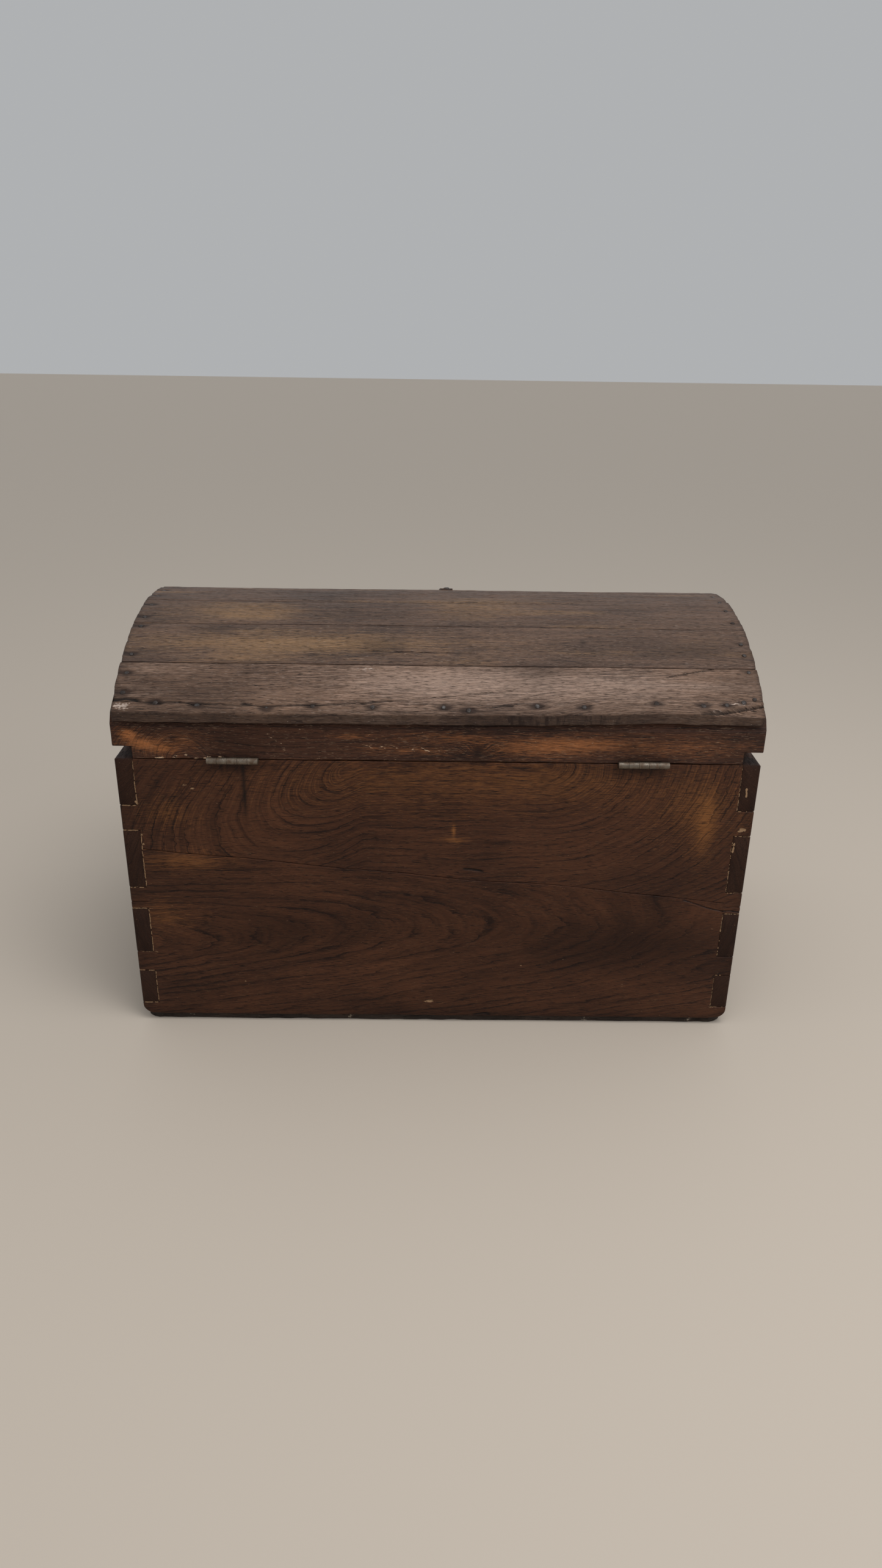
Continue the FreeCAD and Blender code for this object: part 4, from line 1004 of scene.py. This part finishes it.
for name, sign in (("right", 1), ("left", -1)):
    def arch_place(u, s, t, sign=sign):
        return sign * (lid_end_low.x + t), u, s

    arch = board((-IN_D, IN_D), NOTCH_TOP, under_stave, lid_end_high.x - lid_end_low.x, arch_place,
                 (0.005, 0.0024), 0.0012, end_shape, arch_paint, arch_ring, (False, False), seed=104)
    build(name + "_arch", [arch], end_finish, ["lid_%s_end" % name], "lid")


# ---- Staves --------------------------------------------------------------------------------
# Seven oak boards, planed round outside and flat inside, nailed side by side over the arched ends.
# They have lost most of their finish: dry, furrowed grain, grey-brown, darker at joints and nails.

# The eave staves' light and rubbed tones are raised to paint a sheen; the darker finish keeps the middle
# staves' own tone.
stave_finish_with_sheen = oak("weathered_stave_oak_painted_sheen", (0.030, 0.0155, 0.0105), (0.275, 0.162, 0.105),
                   (0.41, 0.285, 0.220), (0.46, 0.36, 0.30), 0.35, 0.0005, 0.56, 0.27, seed=1.0,
                   tick_share=0.3, texture=0.62)
dark_stave_finish = oak("darker_stave_oak", (0.024, 0.0125, 0.0085), (0.178, 0.102, 0.066),
                        (0.25, 0.140, 0.065), (0.42, 0.33, 0.27), 0.35, 0.00045, 0.55, 0.32, seed=6.0,
                        tick_share=0.3, texture=0.55)
STAVE_GAP = 0.0007
PLUMB_REACH = 0.03                  # the outer edge of an eave stave is plumb and fades in over this
STAVE_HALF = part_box("stave_1")[1].x
EAVE = DOME_HALF * DOME_R


def centre_of(points):
    return sum(points, Vector()) / len(points)


def nail_places(node):
    """Points of each nail in a group, sorted out of the group's own solids."""
    net = bmesh.new()
    net.from_mesh(nodes[node].data)
    bmesh.ops.remove_doubles(net, verts=net.verts, dist=1e-6)
    seen, heads = set(), []
    for start in net.verts:
        if start.index in seen:
            continue
        stack, island = [start], []
        seen.add(start.index)
        while stack:
            v = stack.pop()
            island.append(v.co.copy())
            for e in v.link_edges:
                w = e.other_vert(v)
                if w.index not in seen:
                    seen.add(w.index)
                    stack.append(w)
        heads.append(island)
    net.free()
    return heads


def dome_nail(island):
    """Where a dome nail lies: along the chest, and arc length up from the back eave."""
    far = max(math.hypot(c.y, c.z - DOME_Z) for c in island)
    mid = centre_of([c for c in island if math.hypot(c.y, c.z - DOME_Z) > far - 0.0006])
    return mid.x, EAVE - math.atan2(mid.y, mid.z - DOME_Z) * DOME_R


dome_nails = []
for group in ("eave_nails_back", "eave_nails_front", "stave_nails_left", "stave_nails_right"):
    dome_nails += [dome_nail(island) for island in nail_places(group)]

SPLIT_START = -0.335
LONG_SPLIT = ((0.423, 0.0165), (0.31, 0.0125), (0.235, 0.0105), (0.14, 0.0135), (0.06, 0.0195),
              (-0.02, 0.027), (-0.096, 0.036))
# Wear by stave, counted from the back eave; across is arc length up from there. The first stave's two broad
# patches paint a sheen.
STAVE_RUB_AND_SHEEN = {
    0: ((0.60, 0.010, 0.048, 0.130, 0.034), (0.48, -0.220, 0.045, 0.150, 0.034)),
    1: ((0.80, 0.200, 0.120, 0.200, 0.020),),
    2: ((0.35, 0.300, 0.190, 0.100, 0.020),)}
STAVE_DIRTY = {
    0: ((0.45, 0.360, 0.030, 0.090, 0.020), (0.30, -0.130, 0.062, 0.030, 0.020),
        (0.35, -0.400, 0.050, 0.050, 0.030)),
    1: ((0.60, -0.194, 0.126, 0.006, 0.006), (0.50, -0.025, 0.101, 0.007, 0.004),
        (0.30, -0.300, 0.120, 0.120, 0.030))}
STAVE_BARE = {
    0: ((0.75, 0.409, 0.008, 0.013, 0.005), (0.40, -0.390, 0.018, 0.030, 0.003),
        (0.60, 0.407, 0.095, 0.004, 0.004), (0.45, 0.100, 0.070, 0.020, 0.004))}
STAVE_SPLITS = {
    0: ((1.0, 0.0013, 115, 0.0012, LONG_SPLIT[:5]), (0.7, 0.0008, 115, 0.0005, LONG_SPLIT[4:]),
        (1.0, 0.0010, 116, 0.0004, ((-0.300, 0.0625), (-0.345, 0.074), (-0.421, 0.093))),
        (1.0, 0.0030, 117, 0.0012, ((0.423, 0.0185), (0.405, 0.019), (0.388, 0.0155))),
        (1.0, 0.0016, 118, 0.0012, ((-0.070, 0.0115), (-0.096, 0.0125))),
        (1.0, 0.0022, 119, 0.0012, ((0.253, 0.0135), (0.241, 0.0125)))),
    1: ((0.9, 0.0007, 120, 0.0012, ((0.10, 0.105), (-0.05, 0.1015))),),
    3: ((1.0, 0.0007, 121, 0.0012, ((0.25, 0.247), (0.0, 0.2445), (-0.2, 0.246))),)}


def broken_line(u):
    """The curve along which the eave corner has sheared off at the left end of the chest."""
    k = np.clip((SPLIT_START - u) / (STAVE_HALF + SPLIT_START), 0, 1)
    return 0.0165 * k ** 1.5


def arc_at(s, index):
    """Arc length up from the back eave for a point of this stave."""
    return s + EAVE - angles[index] * DOME_R


def nail_pits(u, a, reach):
    pit = np.zeros_like(u)
    for nu, na in dome_nails:
        if abs(na - float(np.mean(a))) < 0.06:
            pit = np.maximum(pit, fade(np.hypot((u - nu) / 2.2, a - na), reach))
    return pit


def stave_paint(u, s, t, index):
    """Wear and painted sheen that differ along every stave, grime at its joints, ends and nails, painted
    shade under the back eave's edge, then its own marks.
    """
    a = arc_at(s, index)
    width = (angles[index] - angles[index + 1]) * DOME_R
    rub_and_sheen = (0.225 if index == 0 else 0.45) * clouds(u, a, 0.15, 0.02, 111, 2, 0.6)
    rub_and_sheen = rub_and_sheen + patches(u, a, STAVE_RUB_AND_SHEEN.get(index, ()))
    dirt_and_shade = 0.5 * fade(s, 0.0022) * (index > 0) + 0.5 * fade(width - s, 0.0022)
    dirt_and_shade += 0.35 * clouds(u, a, 0.11, 0.035, 112, 2, 0.7)
    dirt_and_shade += 0.5 * fade(STAVE_HALF - np.abs(u), 0.006)
    dirt_and_shade += 0.9 * np.clip(1.6 * nail_pits(u, a, 0.0066), 0, 1) * np.clip((u + 0.398) / 0.01, 0.25, 1)
    dirt_and_shade += patches(u, a, STAVE_DIRTY.get(index, ()))
    bare = np.zeros_like(u) + patches(u, a, STAVE_BARE.get(index, ()))
    split = deepest(u, a, STAVE_SPLITS.get(index, ()))
    if index == 0:
        dirt_and_shade += 0.25 * fade(a, 0.010) * (0.7 + 0.3 * wander(u, a, 0.05, 0.01, 114))
        # The eave stave's edge face, below its outer arris, is darkened: painted shade under the eave.
        dirt_and_shade += 0.55 * np.clip((STAVE_T - 0.0008 - t) / 0.001, 0, 1) * (s < 0.003)
        # A near-black line of painted shade runs along the edge of the break.
        edge = np.abs(a - broken_line(u) - 0.0018)
        split = np.maximum(split, fade(edge, 0.0018) * (u < SPLIT_START))
    return np.stack([rub_and_sheen, dirt_and_shade, bare, split], -1)


def stave_ring(u, s, t, index):
    a = arc_at(s, index)
    drift = 2.4 * wander(u, a * 0 + index, 0.22, 1.0, 122) + 0.9 * wander(u, a, 0.10, 0.03, 123)
    return a / (0.0042 + 0.0008 * math.sin(index * 2.1)) + drift + 3.0 * u * math.cos(index * 1.7)


def stave_shape(u, s, t, outer, index):
    """Furrows along the grain, pits round nails, gaping splits, a chewed eave and ends."""
    a = arc_at(s, index)
    marks = stave_paint(u, s, t, index)
    dip = 0.0007 * wander(u, a, 0.15, 0.03, 131) + 0.00042 * wander(u, a, 0.035, 0.0045, 132)
    dip = dip + 0.00022 * wander(u, a, 0.015, 0.0022, 133)
    dip = dip - 0.0016 * nail_pits(u, a, 0.0075) - 0.0024 * marks[..., 3]
    if index == 0:
        broken = u < SPLIT_START
        lost = np.clip((broken_line(u) - a) / 0.002, 0, 1) * broken
        dip = dip - 0.0042 * lost - 0.006 * fade(np.abs(a - broken_line(u) - 0.001), 0.002) * broken
        dip = dip - 0.0030 * spot(u, a, 0.418, 0.018, 0.012, 0.004) - 0.0008 * fade(a, 0.005)
        chew = 0.0009 * np.clip(wander(u, a * 0, 0.018, 1.0, 134) + 0.15, 0, 1)
        chew = chew + 0.0014 * spot(u, 0, -0.38, 0, 0.05, 1)
        s = np.where(s < 0.0035, s + chew * fade(s, 0.0035), s)
    t = t + outer * dip
    bite = 0.0018 * np.clip(wander(a, a * 0, 0.009, 1.0, 135 + index), 0, 1)
    u = np.where(u > STAVE_HALF - 0.002, u - bite, np.where(u < -STAVE_HALF + 0.002, u + bite, u))
    return u, s, t


def eave_lift(u, a, t):
    """The first stave has warped: its eave droops at one end and stands off the rail at the other."""
    rise = np.interp(u, (-0.42, -0.34, -0.29, -0.24, -0.13, 0.0, 0.22, 0.42),
                     (0.0022, 0.0036, 0.0050, 0.0034, 0.0008, 0.0, -0.0022, -0.0016))
    share = np.where(rise > 0, 1.0, t / STAVE_T)
    return rise * share * fade(a, 0.055)


def stave_place(u, s, t, index):
    angle = angles[index] - s / DOME_R
    half = (angles[index] - angles[index + 1]) / 2
    middle = (angles[index] + angles[index + 1]) / 2
    inner = (DOME_R - STAVE_T) * math.cos(half) / np.cos(angle - middle)
    radius = inner + t / STAVE_T * (DOME_R - inner)
    y, z = radius * np.sin(angle), DOME_Z + radius * np.cos(angle)
    if index in (0, 6):
        side = 1 if index == 0 else -1
        reach = s if index == 0 else (angles[6] - angles[7]) * DOME_R - s
        out = (STAVE_T - t) * math.sin(DOME_HALF) * fade(reach, PLUMB_REACH)
        y = y + side * out
        z = z - out * math.tan(abs(middle))
    if index == 0:
        z = z + eave_lift(u, s, t)
    return u, y, z


for index in range(7):
    wide = (angles[index] - angles[index + 1]) * DOME_R
    first = STAVE_GAP / 2 if index else 0.0
    last = wide - (STAVE_GAP / 2 if index < 6 else 0.0)
    step = (0.003, 0.0011) if index < 4 else (0.005, 0.0018)
    stave = board((-STAVE_HALF, STAVE_HALF), first, last, STAVE_T,
                  lambda u, s, t, k=index: stave_place(u, s, t, k), step, 0.0013,
                  lambda u, s, t, o, k=index: stave_shape(u, s, t, o, k),
                  lambda u, s, t, k=index: stave_paint(u, s, t, k),
                  lambda u, s, t, k=index: stave_ring(u, s, t, k), sides=7, back=10, seed=140 + index)
    finish = stave_finish_with_sheen if index in (0, 6) else dark_stave_finish
    build("stave_board_%d" % (index + 1), [stave], finish, ["stave_%d" % (index + 1)],
          "lid", 55.0)


# ---- Nails -----------------------------------------------------------------------------------
# Short forged nails with flat, uneven heads, black with rust, sunk a little into the dome.


def iron(name, dark, light, rust, relief, rough):
    """Old iron: blotched dark metal with rust, pitted."""
    mat = bpy.data.materials.new(name)
    mat.use_nodes = True
    tree = mat.node_tree
    bsdf = tree.nodes["Principled BSDF"]
    where = tree.nodes.new("ShaderNodeTexCoord")

    def noise(scale, detail, squeeze):
        made = tree.nodes.new("ShaderNodeTexNoise")
        made.inputs["Scale"].default_value = scale
        made.inputs["Detail"].default_value = detail
        tree.links.new(where.outputs["Object"], made.inputs["Vector"])
        ramp = tree.nodes.new("ShaderNodeMapRange")
        ramp.inputs["From Min"].default_value = 0.5 - squeeze
        ramp.inputs["From Max"].default_value = 0.5 + squeeze
        tree.links.new(made.outputs["Fac"], ramp.inputs["Value"])
        return ramp.outputs[0]

    def mix(share, one, two):
        made = tree.nodes.new("ShaderNodeMix")
        made.data_type = "RGBA"
        tree.links.new(share, made.inputs[0])
        for slot_no, value in ((6, one), (7, two)):
            if isinstance(value, tuple):
                made.inputs[slot_no].default_value = value + (1.0,)
            else:
                tree.links.new(value, made.inputs[slot_no])
        return made.outputs[2]

    cloud = noise(45.0, 5.0, 0.22)
    blotch = noise(130.0, 6.0, 0.12)
    pits = noise(900.0, 4.0, 0.3)
    colour = mix(blotch, mix(cloud, dark, light), rust)
    tree.links.new(colour, bsdf.inputs["Base Color"])
    bsdf.inputs["Metallic"].default_value = 0.55
    dull = tree.nodes.new("ShaderNodeMapRange")
    dull.inputs["To Min"].default_value = rough - 0.12
    dull.inputs["To Max"].default_value = rough + 0.18
    tree.links.new(blotch, dull.inputs["Value"])
    tree.links.new(dull.outputs[0], bsdf.inputs["Roughness"])
    bump = tree.nodes.new("ShaderNodeBump")
    bump.inputs["Strength"].default_value = 0.9
    bump.inputs["Distance"].default_value = relief
    tree.links.new(pits, bump.inputs["Height"])
    tree.links.new(bump.outputs[0], bsdf.inputs["Normal"])
    return mat


nail_finish = iron("rusted_nail_iron", (0.012, 0.010, 0.010), (0.105, 0.095, 0.090), (0.026, 0.017, 0.013),
                   0.0003, 0.45)
rng = np.random.default_rng(7)


def nail_head(net, centre, way, radius, height):
    """A low, dented dome with an uneven rim."""
    way = way.normalized()
    side = way.orthogonal().normalized()
    other = way.cross(side)
    tilt = rng.normal(0, 0.05, 2)
    rows = ((1.0, -1.6), (1.0, 0.15), (0.93, 0.62), (0.66, 0.92), (0.33, 1.0))
    count = 14
    wobble = 1 + rng.normal(0, 0.05, count)
    rings = []
    for share, rise in rows:
        ring = []
        for k in range(count):
            turn_by = 2 * math.pi * k / count
            across = side * math.cos(turn_by) + other * math.sin(turn_by)
            lean = tilt[0] * math.cos(turn_by) + tilt[1] * math.sin(turn_by)
            reach = radius * share * wobble[k]
            ring.append(net.verts.new(centre + across * reach + way * (height * rise + lean * reach)))
        rings.append(ring)
    for one, two in zip(rings, rings[1:]):
        for k in range(count):
            net.faces.new((one[k], one[(k + 1) % count], two[(k + 1) % count], two[k]))
    top = net.verts.new(centre + way * height * (1.0 - 0.15 * rng.random()))
    base = net.verts.new(centre - way * height * 1.6)
    for k in range(count):
        net.faces.new((rings[-1][k], rings[-1][(k + 1) % count], top))
        net.faces.new((rings[0][(k + 1) % count], rings[0][k], base))


def drive_nails(name, node, body, aim, radius, height, sink):
    """Heads at the places of the group's solids; aim gives the way each head faces."""
    net = bmesh.new()
    for island in nail_places(node):
        way = aim(island)
        far = max(c.dot(way) for c in island)
        mid = centre_of([c for c in island if c.dot(way) > far - 0.0005])
        if node in ("eave_nails_back", "stave_nails_left", "stave_nails_right"):
            across, up = dome_nail(island)
            mid.z += float(eave_lift(across, up, STAVE_T))
        nail_head(net, mid - way * sink, way, radius * (1 + rng.normal(0, 0.08)), height)
    bmesh.ops.recalc_face_normals(net, faces=net.faces)
    mesh = bpy.data.meshes.new(name)
    net.to_mesh(mesh)
    net.free()
    mesh.shade_smooth()
    mesh.materials.append(nail_finish)
    piece = bpy.data.objects.new(name, mesh)
    scene.collection.objects.link(piece)
    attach(piece, body)
    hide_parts(node)


def facing(*way):
    """The aim of a group whose heads all face one way."""
    return lambda island: Vector(way)


def off_dome(island):
    mid = centre_of(island)
    return Vector((0.0, mid.y, mid.z - DOME_Z)).normalized()


def off_rail(island):
    return Vector((0.0, math.copysign(1.0, centre_of(island).y), 0.0))


def off_strap(island):
    return Vector((0.0, -1.0, 0.0)) if centre_of(island).z < RAIL_FACE_TOP else off_dome(island)


# Each group: its body, its aim, then radius and height of the heads and how deep they are sunk.
for group, body, aim, radius, height, sink in (
        ("eave_nails_back", "lid", off_dome, 0.0036, 0.0011, 0.0012),
        ("eave_nails_front", "lid", off_dome, 0.0036, 0.0011, 0.0010),
        ("stave_nails_left", "lid", off_dome, 0.0030, 0.0010, 0.0008),
        ("stave_nails_right", "lid", off_dome, 0.0030, 0.0010, 0.0008),
        ("rail_nails", "lid", off_rail, 0.0021, 0.0006, 0.0008),
        ("strap_nails", "lid", off_strap, 0.0044, 0.0018, 0.0016),
        ("staple_plate_nails", "chest", facing(0.0, -1.0, 0.0), 0.0042, 0.0018, 0.0016),
        ("left_handle_nails", "chest", facing(-1.0, 0.0, 0.0), 0.0042, 0.0018, 0.0016),
        ("right_handle_nails", "chest", facing(1.0, 0.0, 0.0), 0.0042, 0.0018, 0.0016),
        ("bottom_nails", "chest", facing(0.0, 0.0, -1.0), 0.0030, 0.0004, 0.0006)):
    drive_nails(group.replace("nails", "nail_heads"), group, body, aim, radius, height, sink)


# ---- Hinges ------------------------------------------------------------------------------------
# Two cast butt hinges, let in between rail and wall so that only the barrels show; steel worn to a
# dull grey-brown.

hinge_finish = iron("worn_hinge_steel", (0.075, 0.060, 0.046), (0.27, 0.225, 0.175), (0.10, 0.065, 0.042),
                    0.00025, 0.38)


def refinish(names, finish, bevel_by=0.0):
    """The construction's own solids, with a finish and softly worn arrises."""
    for name in names:
        piece = nodes[name]
        piece.data.materials.clear()
        piece.data.materials.append(finish)
        if bevel_by:
            soften = piece.modifiers.new("worn_edges", "BEVEL")
            soften.width = bevel_by
            soften.segments = 2
            soften.limit_method = "ANGLE"
            soften.angle_limit = math.radians(40)


for side in ("left", "right"):
    refinish(["hinge_%s_body_leaf" % side, "hinge_%s_lid_leaf" % side, "hinge_%s_pin" % side], hinge_finish)
refinish(["hinge_screws_body", "hinge_screws_lid"], hinge_finish)


# ---- Hasp, strap, staple and handles ---------------------------------------------------------------
# Forged flat iron and round bar: a strap bent over the front eave with the hasp hinged to its foot, a
# plate and staple on the wall below, and a drop handle on each end.

forged_finish = iron("forged_iron", (0.022, 0.019, 0.018), (0.085, 0.074, 0.068), (0.085, 0.038, 0.018),
                     0.00035, 0.5)
ARRIS = 0.0006                      # wear on the edges of flat iron
refinish(["hasp_strap", "hasp", "staple_plate", "left_handle_plate", "right_handle_plate"], forged_finish,
         ARRIS)
refinish(["hasp_pin", "staple", "left_handle_bail", "right_handle_bail"], forged_finish)
